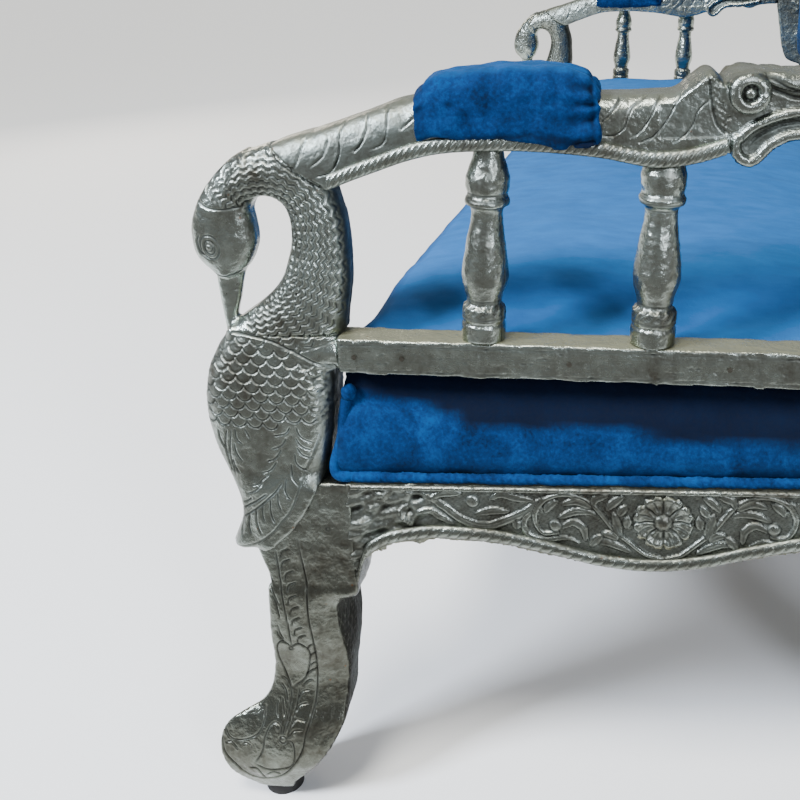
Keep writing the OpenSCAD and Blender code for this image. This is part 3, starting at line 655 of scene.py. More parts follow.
# Scales on the breast: top row, rows apart, scales apart, and the row's fall by place along
SCALE_TOP = 434
SCALE_ROW = 7.6
SCALE_ROWS = 10
SCALE_GAP = 13
SCALE_FALL = 0.088
SCALE = [(-6.4, 2.6), (-4.2, -1.4), (0, -3.2), (4.2, -1.4), (6.4, 2.6)]
NECK_MIDDLE = [(-329, 548), (-315, 562), (-295, 567), (-273, 562), (-257, 547), (-252, 525), (-254, 503),
               (-259, 482), (-269, 465), (-288, 451), (-318, 443)]
COLLAR = [(-328, 441), (-318, 441), (-299, 437), (-285, 431), (-270, 423), (-257, 416), (-240, 409)]
COLLAR_TRIM = [(-290, 430), (-274, 427), (-260, 430), (-242, 435)]
SCALES_END = [(-356, 364), (-328, 365), (-295, 369), (-265, 371), (-240, 372)]
HEAD_LINES = [
    [(-350, 552), (-344, 547), (-334, 543), (-318, 543), (-306, 545)],
    [(-347, 522), (-350, 517), (-348, 508), (-341, 503)],
    [(-345, 491), (-338, 488), (-329, 487), (-318, 490), (-308, 495)],
    [(-282, 590), (-277, 581), (-265, 572), (-254, 565), (-242, 557)],
]
EYE = (-339, 512)
WING_LINES = [
    [(-330, 363), (-330, 358), (-329, 353), (-325, 349)],
    [(-332, 350), (-332, 344), (-330, 338), (-327, 334)], [(-335, 335), (-334, 328), (-331, 323)],
    [(-345, 361), (-345, 354), (-341, 345)], [(-322, 363), (-318, 354)],
    [(-337, 363), (-340, 350), (-340, 341), (-338, 321)], [(-333, 363), (-337, 341), (-335, 320)],
    [(-322, 302), (-325, 299), (-331, 296)],
]
BLADES = [
    [(-284, 365), (-287, 360), (-291, 358), (-298, 357)],
    [(-288, 355), (-291, 350), (-295, 347), (-301, 345)],
    [(-293, 345), (-296, 340), (-300, 336), (-306, 334)],
    [(-298, 334), (-302, 328), (-306, 325), (-311, 324)],
    [(-305, 323), (-311, 318), (-314, 315), (-320, 313)],
    [(-311, 316), (-315, 311), (-319, 308), (-325, 305)],
    [(-279, 365), (-278, 360), (-275, 355), (-267, 350)],
    [(-280, 355), (-278, 350), (-274, 346), (-268, 343)],
    [(-280, 347), (-277, 341), (-273, 338), (-268, 336)],
    [(-282, 341), (-282, 334), (-279, 329), (-273, 325)],
    [(-286, 332), (-286, 324), (-285, 319), (-281, 314)],
    [(-291, 320), (-292, 312), (-291, 306), (-288, 302)], [(-298, 308), (-299, 300), (-297, 292)],
    [(-305, 302), (-306, 292), (-305, 285), (-303, 280)], [(-312, 298), (-313, 288), (-312, 282)],
    [(-318, 292), (-319, 282), (-318, 274), (-316, 270)], [(-325, 286), (-327, 276), (-326, 268)],
    [(-332, 281), (-334, 274), (-334, 267)],
]
QUILLS = [
    [(-294, 317), (-299, 310), (-305, 304), (-319, 292), (-336, 279)],
    [(-307, 307), (-320, 298), (-335, 288)],
]
WING_RIM = [(-343, 256), (-331, 256), (-322, 260), (-308, 270), (-298, 281), (-289, 292), (-283, 305),
            (-275, 326), (-265, 345), (-259, 360)]
SHEAR = [(-277, 419), (-270, 396), (-263, 370), (-249, 362)]


def pillow(own, tips, middle, wide, thinnest, joints):
    """Thins a slab towards its outline: round in section, with the share thinnest left at its edge."""
    walls = own[(np.abs(tips[:, 0]) < 0.35) & (np.abs(own[:, 0] - middle) < 6)][:, 1:]
    far = np.ones(len(walls), bool)
    for start, end in joints:
        line = np.array([start, end], float)
        step = line[1] - line[0]
        t = np.clip((walls - line[0]) @ step / (step @ step), 0, 1)
        far &= np.linalg.norm(walls - line[0] - t[:, None] * step, axis=1) > 3.5
    walls = walls[far]
    tree = KDTree(len(walls))
    for i, (a, b) in enumerate(walls):
        tree.insert((a, b, 0.0), i)
    tree.balance()
    gap = np.array([tree.find((a, b, 0.0))[2] for a, b in own[:, 1:]])
    near = np.clip(gap / wide, 0, 1)
    share = thinnest + (1 - thinnest) * np.sqrt(1 - (1 - near) ** 2)
    return np.column_stack([middle + (own[:, 0] - middle) * share, own[:, 1], own[:, 2]]), gap


def shape_bird(own, tips):
    """Thin at the neck and full in the body; over the block it dies into the block's face."""
    out, along, up = own.T
    away = out - BIRD_MIDDLE
    half = np.where(up < 439.5, BODY_HALF, NECK_HALF)
    full = NECK_HALF + (BODY_HALF - NECK_HALF) * (1 - smoothstep(385, 436, up))
    slab = own.copy()
    slab[:, 0] = BIRD_MIDDLE + np.sign(away) * np.clip(np.abs(away) / half, 0, 1) * full
    wide = 25 - 15 * smoothstep(330, 290, up)
    thinnest = 0.32 + 0.5 * (slab[:, 0] < BIRD_MIDDLE) * (1 - smoothstep(425, 445, up))
    rounded, gap = pillow(slab, tips, BIRD_MIDDLE, wide, thinnest, BIRD_JOINTS)
    rim = np.sqrt(1 - (1 - np.clip(gap / 9, 0, 1)) ** 2)
    over_block = (out > -1) * smoothstep(-328, -314, along) * (1 - smoothstep(306, 326, up))
    proud = 0.5 + rim * 6.5 * np.clip((out + 1) / 5, 0, 1)
    rounded[:, 0] += (proud - rounded[:, 0]) * over_block
    rounded[:, 2] += level(CROWN_LIFT, along) * smoothstep(556, 580, up)
    return rounded


def cut_neck(work):
    """Short curved strokes in rows across the neck, end to end so that they run on as wavy lines."""
    line = curve(NECK_MIDDLE, 1.0)
    for at in range(STROKE_ROW // 2, len(line) - 1, STROKE_ROW):
        way, side = along_and_across(line, at, 2)
        half = way * STROKE_LENGTH / 2
        for offset in np.arange(-NECK_REACH, NECK_REACH, STROKE_GAP):
            uneven = side * (offset + 0.4 * math.sin(at * 1.7)) + way * 0.3 * math.sin(offset * 0.9 + at)
            centre = line[at] + uneven
            work.cut([centre - half, centre + side * STROKE_BULGE, centre + half], 1.1, 0.7)


def cut_scales(work):
    """Overlapping scales between the collar and the wing."""
    for k in range(SCALE_ROWS):
        for along in np.arange(-358 + (k % 2) * SCALE_GAP / 2, -258, SCALE_GAP):
            up = SCALE_TOP - SCALE_ROW * k - SCALE_FALL * (along + 300)
            if level(SCALES_END, along) - 3 < up < level(COLLAR, along) - 3:
                work.cut([(along + a, up + b) for a, b in SCALE], 1.3, 0.72)


def crumple_shoulder(work, own):
    """Crumpled sheet behind the wing, with dark folds."""
    y, z = work.places.T
    crumpled = smoothstep(-6, 3, y - level_across(SHEAR, z))
    crumpled *= smoothstep(350, 366, z) * (1 - smoothstep(412, 424, z))
    folds = ripple(own * (1, 0.6, 1.3), 7, 8)
    work.height += crumpled * folds * 0.8
    dark = crumpled * np.clip(-folds - 0.2, 0, 1) * 0.8
    work.groove = np.maximum(work.groove * (1 - 0.7 * crumpled), dark)


def carve_bird(own, tips):
    """Feathers: short strokes on the neck, scales on the breast, quills and barbs on wing and tail."""
    work = Carving(own[:, 1:])
    y, z = work.places.T
    cut_neck(work)
    face_and_bill = (z < 544) & ((y < -298) & (z > 470) | (y < -316) & (z > 448))
    body = z < level(COLLAR, y) + 1
    work.clear(face_and_bill | body)
    work.cut_all(HEAD_LINES, 1.0, 0.9)
    work.cut(ring_line(EYE, 4.5, 6.0, 12), 0.9, 0.8)
    work.cut(ring_line(EYE, 8.0, 10.0, 12), 0.8, 0.8)
    work.boss(EYE, 3.0, 1.2)
    cut_scales(work)
    work.cut(COLLAR, 1.3, 1.0)
    work.cut(COLLAR_TRIM, 0.7, 0.8, 0.5)
    work.cut_all(QUILLS, 1.3, 0.9)
    work.cut_all(WING_LINES + BLADES, 1.1, 0.7)
    work.cut(WING_RIM, 0.8, 0.8, 0.6)
    crumple_shoulder(work, own)
    sideways = np.abs(tips[:, 0])
    face = smoothstep(0.15, 0.6, sideways)
    # Painted shade: faces turned back towards the seat are darkened. The body's rounded edges are
    # darkened a little too.
    edge = 0.25 * smoothstep(0.1, 0.3, sideways) * (1 - smoothstep(0.75, 0.95, sideways)) * body
    behind = smoothstep(0.45, 0.85, tips[:, 1]) * (y > -300) * np.where(body, 0.55, 0.8)
    groove = np.maximum(np.maximum(work.groove * face, edge), behind)
    return work.height * face, groove, upward_warmth(tips, 0.75, 0.4)


# Front leg: places along and up the right side
LEG_CORNER = [(-288, 262), (-286, 240), (-284, 217), (-285, 188), (-283, 157), (-284, 130), (-287, 101),
              (-295, 76), (-299, 60), (-308, 45), (-319, 33), (-336, 26), (-350, 28), (-363, 40),
              (-372, 52), (-374, 68)]
LEG_HOLES = ((-304, 154), (-261, 272))
LEG_VEIN = [(-308, 251), (-307, 233), (-306, 209), (-304, 183), (-303, 157)]
LEG_ARC = [(-1.5, -5.5), (0.5, 0.5), (7, 3.5)]
LEG_ARCS = [(-303, 249), (-303, 239), (-301, 228), (-300, 217), (-300, 206), (-299, 195), (-299, 184),
            (-298, 174), (-296, 166)]
LEG_LINES = [
    [(-317, 219), (-314, 213), (-310, 200)], [(-315, 209), (-312, 200), (-310, 187)],
    [(-318, 236), (-316, 228), (-313, 220)], [(-313, 179), (-312, 171), (-309, 164)],
    [(-315, 173), (-313, 167), (-309, 162)],
    [(-304, 153), (-305, 158), (-311, 162), (-316, 156), (-317, 144), (-314, 129), (-308, 112)],
    [(-304, 153), (-302, 157), (-296, 160), (-289, 153), (-289, 142), (-295, 122), (-307, 112)],
    [(-290, 153), (-287, 158), (-284, 160)], [(-289, 144), (-286, 148), (-283, 150)],
    [(-290, 133), (-287, 137), (-284, 139)], [(-295, 124), (-289, 129), (-284, 132)],
    [(-298, 114), (-294, 118), (-289, 120)],
    [(-308, 111), (-310, 96), (-316, 73)], [(-301, 112), (-304, 96), (-313, 69)],
    [(-316, 121), (-312, 118), (-309, 111)], [(-318, 115), (-314, 109), (-312, 99)],
    [(-317, 102), (-316, 96), (-315, 88)], [(-321, 100), (-322, 93), (-321, 87)],
    [(-302, 102), (-299, 108), (-292, 110)], [(-304, 92), (-301, 97), (-294, 99)],
    [(-308, 81), (-304, 86), (-297, 85)], [(-311, 71), (-306, 77), (-298, 78)],
    [(-318, 72), (-318, 80), (-325, 82), (-332, 72), (-335, 58), (-343, 45)],
    [(-312, 69), (-307, 66), (-306, 54), (-310, 45), (-319, 41), (-331, 40), (-342, 44)],
    [(-349, 39), (-341, 39), (-336, 27)], [(-334, 33), (-327, 37), (-321, 35)],
    [(-370, 60), (-365, 61), (-359, 56)], [(-354, 61), (-350, 62), (-346, 60)],
    [(-371, 74), (-366, 65), (-355, 64), (-340, 71), (-334, 82), (-333, 94)],
]


# How much further forward the shin stands than in the solids, by height
SHIN_FILL = [(100, 0), (130, 2), (177, 3.7), (200, 1), (212, 0), (228, 1.5), (243, 6), (262, 12),
             (285, 12), (300, 0)]


def shape_leg(own, tips):
    """The outer face turns away behind its corner line, and in front of it towards the toe."""
    x, y, z = own.T
    corner = level_across(LEG_CORNER[:11], z)
    low = 1 - smoothstep(196, 214, z)
    outer = np.clip((x + 62) / 62, 0, 1.2)
    behind = np.clip(y - corner, 0, 60)
    ahead = np.clip(corner - 22 - y, 0, 60)
    x = x - low * outer * (0.16 * behind + 0.12 * ahead)
    toe = smoothstep(-322, -340, y) * smoothstep(40, 75, z)
    fuller = level(SHIN_FILL, z) * smoothstep(-292, -312, y)
    fuller += 0.27 * np.clip(x + 32, 0, 34) * smoothstep(-275, -255, y) * smoothstep(110, 190, z) * low
    return np.column_stack([x, y - fuller, z - 0.75 * np.clip(-x, 0, 45) * toe])


# Crossed lines on the leg's rear facet: their slope, and how far apart they are up the leg
LATTICE_SLOPE = 2.4
LATTICE_STEP = 17


def carve_leg(own, tips):
    """A feather down the front, a heart at the knee and one on the toe, crossed lines at the back."""
    places = own[:, 1:]
    work = Carving(places)
    low = places[:, 1] < 205
    for along, up in LEG_ARCS:
        work.cut([(along + a, up + b) for a, b in LEG_ARC], 1.0, 0.72)
    work.cut(LEG_VEIN, 1.1, 0.8)
    work.cut(LEG_CORNER, 1.2, 0.9)
    work.cut_all(LEG_LINES, 1.1, 0.72)
    work.cut(ring_line((-316, 69), 3.0, 3.0), 1.0, 0.75)
    for hole in LEG_HOLES:
        work.boss(hole, 1.5, -0.8)
    face = smoothstep(0.2, 0.6, np.abs(tips[:, 0]))
    crumple = ripple(own, 26, 5) * 0.22 + ripple(own, 8, 15) * 0.06
    # Painted shade: the rear face, turned towards the seat, is darkened, less along its crossed lines
    behind = smoothstep(0.35, 0.7, tips[:, 1]) * low
    lattice = sum(
        np.exp(-(((own[:, 2] + way * LATTICE_SLOPE * own[:, 0]) / LATTICE_STEP % 1 - 0.5) / 0.045) ** 2)
        for way in (1, -1)
    )
    height = work.height * face + crumple - 0.5 * lattice * behind
    groove = np.maximum(work.groove * face, behind * np.clip(0.95 - 0.5 * lattice, 0, 1))
    return height, groove, upward_warmth(tips, 0.6, 0.5) * low


# Arm: places along and up the right side
ARM_LINES = [
    [(-254, 597), (-256, 591), (-262, 577), (-268, 575)], [(-235, 597), (-240, 584), (-250, 576)],
    [(-226, 594), (-229, 581), (-235, 572), (-247, 568)], [(-208, 596), (-216, 586)],
    [(-214, 618), (-224, 606), (-227, 594), (-228, 583), (-233, 573)],
    [(-198, 624), (-205, 615), (-205, 604), (-211, 591), (-217, 587)],
    [(-180, 629), (-189, 620), (-190, 605), (-193, 593), (-203, 588)], [(-170, 610), (-180, 602)],
    [(-18, 624), (-22, 615), (-27, 609), (-34, 603)],
    [(7, 626), (-9, 615), (-14, 607), (-17, 599), (-24, 594), (-34, 594)],
    [(13, 624), (7, 617), (2, 607), (-4, 598), (-11, 592)],
    [(25, 626), (19, 615), (14, 605), (7, 596), (-1, 588)],
    [(43, 618), (35, 610), (32, 602), (27, 594), (18, 587)], [(30, 633), (26, 628), (21, 624)],
    [(2, 592), (-6, 588)],
]
FACET_EDGE = [(41, 639), (43, 630), (44, 620), (46, 608), (49, 599), (56, 592)]
SCROLL_EYE = (70, 622)
UPPER_BAND = [(60, 631), (64, 634), (72, 636), (84, 634), (103, 628), (130, 626), (160, 629), (194, 631)]
BAND_GROOVE = [(79, 622), (84, 624), (92, 621), (103, 617), (130, 614), (160, 617), (194, 619)]
LOWER_RIDGE = [(64, 590), (72, 597), (85, 603), (104, 607), (130, 606), (160, 609), (194, 611)]
LOWER_GROOVE = [(69, 583), (74, 589), (83, 595), (94, 599), (106, 600), (130, 599), (160, 602),
                (194, 604)]
LOWER_CURL = [(62, 590), (61, 583), (64, 576), (71, 573), (78, 577), (86, 585), (100, 591), (120, 591),
              (160, 597)]
BAND_RIM = [(72, 630), (84, 630), (103, 622), (130, 620), (160, 623), (194, 625)]
ARM_TOP = [(-284, 583), (-263, 595), (-243, 603), (-213, 612), (-198, 617), (-170, 624), (-100, 625),
           (-30, 622), (19, 622), (29, 629), (42, 638), (49, 635), (54, 629), (61, 635), (70, 637),
           (84, 635), (103, 633), (135, 635), (165, 638), (194, 640)]
ARM_MIDDLE = -28.0
# How far down from the top the arm's upper edge is rounded, along the arm
ARM_FOLD = [(-284, 30), (-200, 26), (-34, 22), (-16, 20), (10, 12), (30, 7), (42, 4), (56, 5), (75, 7),
            (194, 9)]


def shape_arm(own, tips):
    """A broad rounded upper edge over a flat face, nearly square below."""
    x, y, z = own.T
    near = np.clip((level(ARM_TOP, y) - z) / level(ARM_FOLD, y), 0, 1)
    share = 0.5 + 0.5 * np.sqrt(1 - (1 - near) ** 2)
    z = z + level(CROWN_LIFT, y) * smoothstep(566, 584, z)
    return np.column_stack([ARM_MIDDLE + (x - ARM_MIDDLE) * share, y, z])


def carve_arm(own, tips):
    """S-shaped gadroons down the arm, then a stippled leaf, a scroll with its eye and a curled leaf."""
    places = own[:, 1:]
    work = Carving(places)
    y, z = places.T
    leaf = (y > level_across(FACET_EDGE, z)) & (z > level(LOWER_RIDGE, y)) & (z < level(UPPER_BAND, y))
    work.hatch(leaf & (z > 596), 2.3, 0.7, 0.3)
    work.height[leaf] -= 1.4
    facet = (y < level_across(FACET_EDGE, z)) & (y > 8) & (z > 590) & (z < level(ARM_TOP, y) - 8)
    work.height[facet] -= 0.8
    work.groove[facet] = 0.25
    work.cut_all(ARM_LINES, 1.2, 0.7)
    work.cut(FACET_EDGE, 1.4, 0.9)
    hollow = (y > 60) & (z < level(LOWER_RIDGE, y)) & (z > level(LOWER_CURL[4:], y))
    work.height[hollow] -= 2.2
    work.groove[hollow] = 0.6
    work.ridge(UPPER_BAND, 4.6, 7.0, False)
    work.ridge(LOWER_RIDGE, 4.4, 3.8, False)
    work.ridge(LOWER_CURL, 4.0, 3.6, False)
    work.ridge(ring_line(SCROLL_EYE, 9.5, 9.5), 5.4, 4.0, False)
    work.cut(BAND_GROOVE, 1.8, 1.3)
    work.cut(LOWER_GROOVE, 1.6, 1.3)
    work.cut(BAND_RIM, 1.6, 1.1)
    work.boss(SCROLL_EYE, 4.4, 5.0)
    for along in range(112, 190, 11):
        work.cut([(along, 634), (along + 5, 629), (along + 8, 624)], 0.8, 0.8)
        work.cut([(along, 604), (along + 5, 599), (along + 7, 593)], 0.8, 0.8)
    face = smoothstep(0.2, 0.6, np.abs(tips[:, 0]))
    dull = 0.4 * (1 - smoothstep(-190, -160, y))
    return work.height * face, np.maximum(work.groove * face, dull), upward_warmth(tips, 0.5, 0.55)


# Apron: places from the middle of its flower, right half, mirrored for the left
VINE_STEM = [(1, -33), (14, -29), (26, -19), (38, -8), (49, 7), (56, 15), (64, 20), (75, 23), (87, 21),
             (96, 15), (101, 5), (100, -5), (94, -12), (84, -11)]
VINE_LEAVES = [
    [(55, 14), (53, 19), (49, 21), (43, 23)], [(53, 6), (61, 8), (71, 7), (82, 2)],
    [(57, 12), (68, 17), (79, 14)], [(83, 17), (89, 13), (93, 7)],
    [(81, -7), (71, -2), (63, -7), (61, -18)], [(29, 14), (35, 5)], [(39, 7), (36, -4), (33, -12)],
    [(27, 4), (29, -6)], [(36, -16), (41, -12), (48, -11)], [(26, -27), (36, -22), (45, -19), (53, -20)],
    [(48, -13), (53, -17), (57, -23)], [(102, 17), (115, 19), (128, 22), (137, 17)],
    [(122, 7), (136, 7), (149, 4)], [(205, 10), (208, 5), (209, -2)], [(203, -2), (202, -8)],
    [(116, -1), (116, -9)], [(196, 5), (186, 6), (176, 0), (168, -5)], [(160, 22), (172, 22), (184, 19)],
    [(31, 22), (38, 17), (44, 10)],
]
FAR_WAVE = [(82, 22), (98, 16), (108, 7), (122, 0), (136, -6), (149, -6), (162, 0), (173, 9), (186, 18),
            (204, 22)]
LOWER_SCROLL = [(94, 11), (107, 3), (110, -6), (105, -15), (92, -18), (76, -16), (66, -20)]
PETALS = 8
# Half of a petal's share of the round, in degrees
PETAL_HALF = 180 / PETALS
PETAL_REACH = 23.5
APRON_FLOWER = (11, 284)
APRON_FACE = -2.0
WOOD_LIP = 3.4
# The apron's sheet runs out level with the leg block and in under its edge
APRON_END_OUT = 1.6
APRON_END_IN = 4.0


def carve_flower(work, middle):
    """Eight notched petals with raised rims, creased between, round a smooth knob."""
    flat = work.places - np.array(middle, float)
    out = np.linalg.norm(flat, axis=1)
    angle = np.degrees(np.arctan2(flat[:, 1], flat[:, 0])) - PETAL_HALF
    off = (angle + PETAL_HALF) % (2 * PETAL_HALF) - PETAL_HALF
    turn = np.abs(off) / PETAL_HALF
    tip = PETAL_REACH * (1 - 0.13 * turn ** 4 - 0.05 * np.exp(-(turn / 0.18) ** 2))
    inside = out < tip
    rim = np.exp(-((tip - 3.0 - out) / 2.4) ** 2)
    cup = 1.2 + 1.1 * rim - 1.2 * np.exp(-((out - 0.6 * tip) / 4.5) ** 2)
    from_crease = np.radians(off) * out
    crease = np.exp(-(from_crease / 0.8) ** 2) * (out > PETAL_REACH * 0.42) * (out < PETAL_REACH * 0.86)
    from_next = np.radians(np.abs(off) - PETAL_HALF) * out
    between = np.exp(-from_next ** 2) * (out > PETAL_REACH * 0.3)
    work.height = np.where(inside, 1.2 + cup - 0.9 * crease - 1.8 * between, work.height)
    foot = np.exp(-((out - tip - 0.6) / 1.0) ** 2)
    dark = np.maximum(0.75 * crease, 0.85 * between)
    work.groove = np.where(inside, dark, np.maximum(work.groove, foot))
    work.boss(middle, PETAL_REACH * 0.33, 5.0)


def carve_vine(work, middle, flip):
    """One half of the scrolling vine beside a flower."""
    def placed(points):
        return [(middle[0] + flip * u, middle[1] + v) for u, v in points]

    work.ridge(placed(FAR_WAVE), 2.2, 4.4, True, 0.5)
    work.ridge(placed(LOWER_SCROLL), 1.8, 3.0)
    work.ridge(placed(VINE_STEM), 2.4, 2.3, False)
    for leaf in VINE_LEAVES:
        work.ridge(placed(leaf), 2.3, 3.9, True, 0.7)
    for knob, radius in (((85, -5), 5.3), ((151, 15), 5.5)):
        work.boss(placed([knob])[0], radius, 2.6)


def flower_and_vines(work, middle):
    """A flower with the vine to both sides of it."""
    for flip in (1, -1):
        carve_vine(work, middle, flip)
    carve_flower(work, middle)


def over_face(own, tips, work, face_level, warm):
    """Carving on the outward face alone; forms already standing on the face are cut back into it."""
    face = smoothstep(0.3, 0.7, tips[:, 0])
    standing = np.clip(own[:, 0] - face_level, 0, 8)
    return (work.height - standing) * face, work.groove * face, warm


def underside(tips):
    """Bare wood shows where the sheet ends under an edge."""
    return upward_warmth(tips) + smoothstep(0.4, 0.8, -tips[:, 2])


def carve_side_apron(own, tips):
    """Flower and vines, crumpled sheet beside the legs, and a lip of bare wood below."""
    work = stippled(own, 0.35, 2.4, 0.75)
    flower_and_vines(work, APRON_FLOWER)
    from_middle = np.abs(own[:, 1])
    by_leg = smoothstep(150, 195, from_middle)
    creases = ripple(np.column_stack([own[:, 1] * 0.4, own[:, 2], own[:, 1] * 0.3]), 8, 13)
    work.height += by_leg * 2.2 * creases
    work.groove = work.groove * (1 - 0.6 * by_leg) + by_leg * np.clip(-creases - 0.15, 0, 1) * 0.9
    height, groove, warm = over_face(own, tips, work, APRON_FACE, underside(tips))
    moved = dented(own, tips, height)
    under = smoothstep(0.3, 0.6, -tips[:, 2])
    moved[:, 2] -= under * WOOD_LIP * smoothstep(20, 90, np.abs(own[:, 1] - APRON_FLOWER[0]))
    moved[:, 0] += APRON_END_OUT * smoothstep(226, 238, from_middle) * (tips[:, 0] > 0.3)
    moved[:, 1] += APRON_END_IN * np.sign(own[:, 1]) * smoothstep(234, 239, from_middle)
    return moved, groove, warm


# Back, and front and rear aprons
FRONT_FACE = 250.0
CROSS_FLOWERS = [(-466.5, 284), (0, 284), (466.5, 284)]
CREST_FLOWER = (0, 500)
RAKE = math.radians(6)
BACK_FOOT = (248.0, 438.0)
# Middle lines of the winding leaves: up each stile, and along half the crest
STILE_SPINE = [(270, 345), (270, 420), (262, 500), (250, 580), (250, 660), (262, 740), (283, 820),
               (302, 880)]
CREST_SPINE = [(40, 480), (140, 462), (260, 456), (400, 458), (540, 450), (660, 446)]


def cross_frame(way):
    """To and from a cross apron's drawing: out of its face, along, up.

    way is -1 for the front apron and 1 for the rear one.
    """
    def into(points):
        return np.column_stack([way * points[:, 1] - FRONT_FACE, points[:, 0], points[:, 2]])

    def back(points):
        return np.column_stack([points[:, 1], way * (points[:, 0] + FRONT_FACE), points[:, 2]])

    return into, back


def to_back(points):
    """World to the raked back's drawing: out of its front plane, along, up."""
    deep = points[:, 1] - BACK_FOOT[0]
    high = points[:, 2] - BACK_FOOT[1]
    out = deep * math.cos(RAKE) - high * math.sin(RAKE)
    up = deep * math.sin(RAKE) + high * math.cos(RAKE)
    return np.column_stack([-out, points[:, 0], up])


def from_back(points):
    """The raked back's drawing to world millimetres."""
    out = -points[:, 0]
    up = points[:, 2]
    return np.column_stack([
        points[:, 1],
        BACK_FOOT[0] + out * math.cos(RAKE) + up * math.sin(RAKE),
        BACK_FOOT[1] - out * math.sin(RAKE) + up * math.cos(RAKE),
    ])


FRONT = cross_frame(-1)
REAR = cross_frame(1)
BACK = (to_back, from_back)


def carve_cross_apron(own, tips):
    """The side's flower and vine, once in each dip."""
    work = stippled(own, 0.35, 3.2, 0.75)
    for middle in CROSS_FLOWERS:
        flower_and_vines(work, middle)
    return over_face(own, tips, work, 0.0, underside(tips))


def carve_border(work, spine, swing, step):
    """A stem that winds about the spine, with a pair of leaves and a knob in every bend."""
    line = curve(spine, 1.0)
    stem = []
    for k, at in enumerate(range(0, len(line) - 2, step)):
        way, across = along_and_across(line, at, 3)
        side = across * (swing if k % 2 else -swing)
        stem.append(line[at] + side * 0.45)
        root = line[at] - side * 0.1
        upper = [root, root - side * 0.7 + way * 5, root - side * 0.9 + way * 14]
        lower = [root, root - side * 0.7 - way * 6, root - side * 0.5 - way * 13]
        work.ridge(upper, 2.2, 3.4, True, 0.6)
        work.ridge(lower, 2.0, 3.0, True, 0.6)
        work.boss(line[at] - side * 0.42, 3.8, 2.4)
    work.ridge(stem, 2.4, 2.3, False)


def carve_stile(own, tips):
    """Winding leaves up both faces of a back stile."""
    work = stippled(own, 0.3, 3.4, 0.7)
    carve_border(work, STILE_SPINE, 24, 30)
    face = smoothstep(0.4, 0.8, np.abs(tips[:, 0]))
    return work.height * face, work.groove * face, upward_warmth(tips)


def carve_crest(own, tips):
    """A flower at the middle of the crest and winding leaves out to both ends."""
    work = stippled(own, 0.3, 3.6, 0.7)
    for flip in (1, -1):
        carve_border(work, [(flip * a, b) for a, b in CREST_SPINE], 22, 34)
    carve_flower(work, CREST_FLOWER)
    return over_face(own, tips, work, 0.0, upward_warmth(tips))


# Ropes, spindles and rails

ARM_TWIST = 5.4
APRON_TWIST = 8.4
# How far the rope bands stand out in the solids, and the upper apron rope's middle and height
ROPE_PROUD = 5.0
UPPER_ROPE = (310.5, 5.0)


def rope_course(node, frame_in, below):
    """Middle line, half height and length so far of a rope band, read along the CAD form."""
    points = frame_in(coordinates(merged_copy(node, node + "_course")))
    points = points[points[:, 2] < below]
    along = np.round(points[:, 1], 1)
    places = np.unique(along)
    low = np.array([points[along == a, 2].min() for a in places])
    high = np.array([points[along == a, 2].max() for a in places])
    tall = high - low > 4
    places, low, high = places[tall], low[tall], high[tall]
    middle = (low + high) / 2
    travel = np.concatenate([[0], np.cumsum(np.hypot(np.diff(places), np.diff(middle)))])
    return places, middle, (high - low) / 2, travel


def twisted(node, voxel, face, pitch, frames, top=None):
    """Half-round rope moulding: the CAD band rounded across and cut aslant every few millimetres."""
    split = (top[0] - top[1] / 2 - 1) if top else 1e9
    places, middle, half, travel = rope_course(node, frames[0], split)

    def twist(own, tips):
        along, up = own[:, 1], own[:, 2]
        mid = np.interp(along, places, middle)
        tall = np.interp(along, places, half)
        run = np.interp(along, places, travel)
        if top:
            upper = up > split
            mid = np.where(upper, top[0], mid)
            tall = np.where(upper, top[1] / 2, tall)
            run = np.where(upper, along, run)
        across = np.clip((up - mid) / tall, -1, 1)
        turn = (run - 0.75 * (up - mid)) / pitch
        cut = np.exp(-(((turn % 1) - 0.5) * pitch / 0.62) ** 2)
        share = np.sqrt(1 - 0.8 * across ** 2) * (1 - 0.2 * cut)
        out = np.where(own[:, 0] > face, (own[:, 0] - face) * share + face, own[:, 0])
        front = own[:, 0] > face + 0.4 * ROPE_PROUD
        groove = np.maximum(0.8 * cut, 0.5 * np.abs(across) ** 4) * front
        return np.column_stack([out, along, up]), groove, upward_warmth(tips, 0.8, 0.3)

    return carved(node, voxel, twist, frames=frames, material=MOULDING)


SPINDLE_FEET = {"front": (-127.0, 438.0), "rear": (3.0, 433.0)}
SPINDLE_LEAN = math.radians(4)
SPINDLE_X = -17.0
# Pairs of slanted cuts round the foot, and heights of the chased rings
SPINDLE_CUTS = 14
SPINDLE_RINGS = (15.5, 29, 103, 108.5, 113)


def carve_spindle(which):
    """Hammered turning with a lapped seam and a band of slanted double cuts near its foot."""
    foot_y, foot_z = SPINDLE_FEET[which]

    def work(own, tips):
        deep = own[:, 1] - foot_y
        high = own[:, 2] - foot_z
        up = deep * math.sin(SPINDLE_LEAN) + high * math.cos(SPINDLE_LEAN)
        back = deep * math.cos(SPINDLE_LEAN) - high * math.sin(SPINDLE_LEAN)
        side = own[:, 0] - SPINDLE_X
        angle = np.degrees(np.arctan2(back, side))
        radius = np.hypot(back, side)
        band = smoothstep(17, 19, up) * (1 - smoothstep(26, 28, up))
        turn = (angle / 360 * SPINDLE_CUTS - (up - 22) / 9) % 1
        cuts = sum(np.exp(-((turn - at) / 0.09) ** 2) for at in (0.35, 0.65))
        seam = np.exp(-(np.radians(angle - 62) * radius / 0.6) ** 2)
        rings = sum(np.exp(-((up - at) / 0.8) ** 2) for at in SPINDLE_RINGS)
        height = -0.9 * band * cuts - 0.35 * seam - 0.5 * rings + 0.14 * ripple(own, 9, 4)
        groove = np.clip(band * cuts + 0.7 * seam + 0.75 * rings, 0, 1)
        return height, groove, upward_warmth(tips, 0.75, 0.5)

    return work


RAIL_TOP = (-242.0, 438.0)
RAIL_FALL = math.radians(2)
RAIL_HEIGHT = 29.0
RAIL_NICKS = (-233, -227, -156, -61, 38, 140)


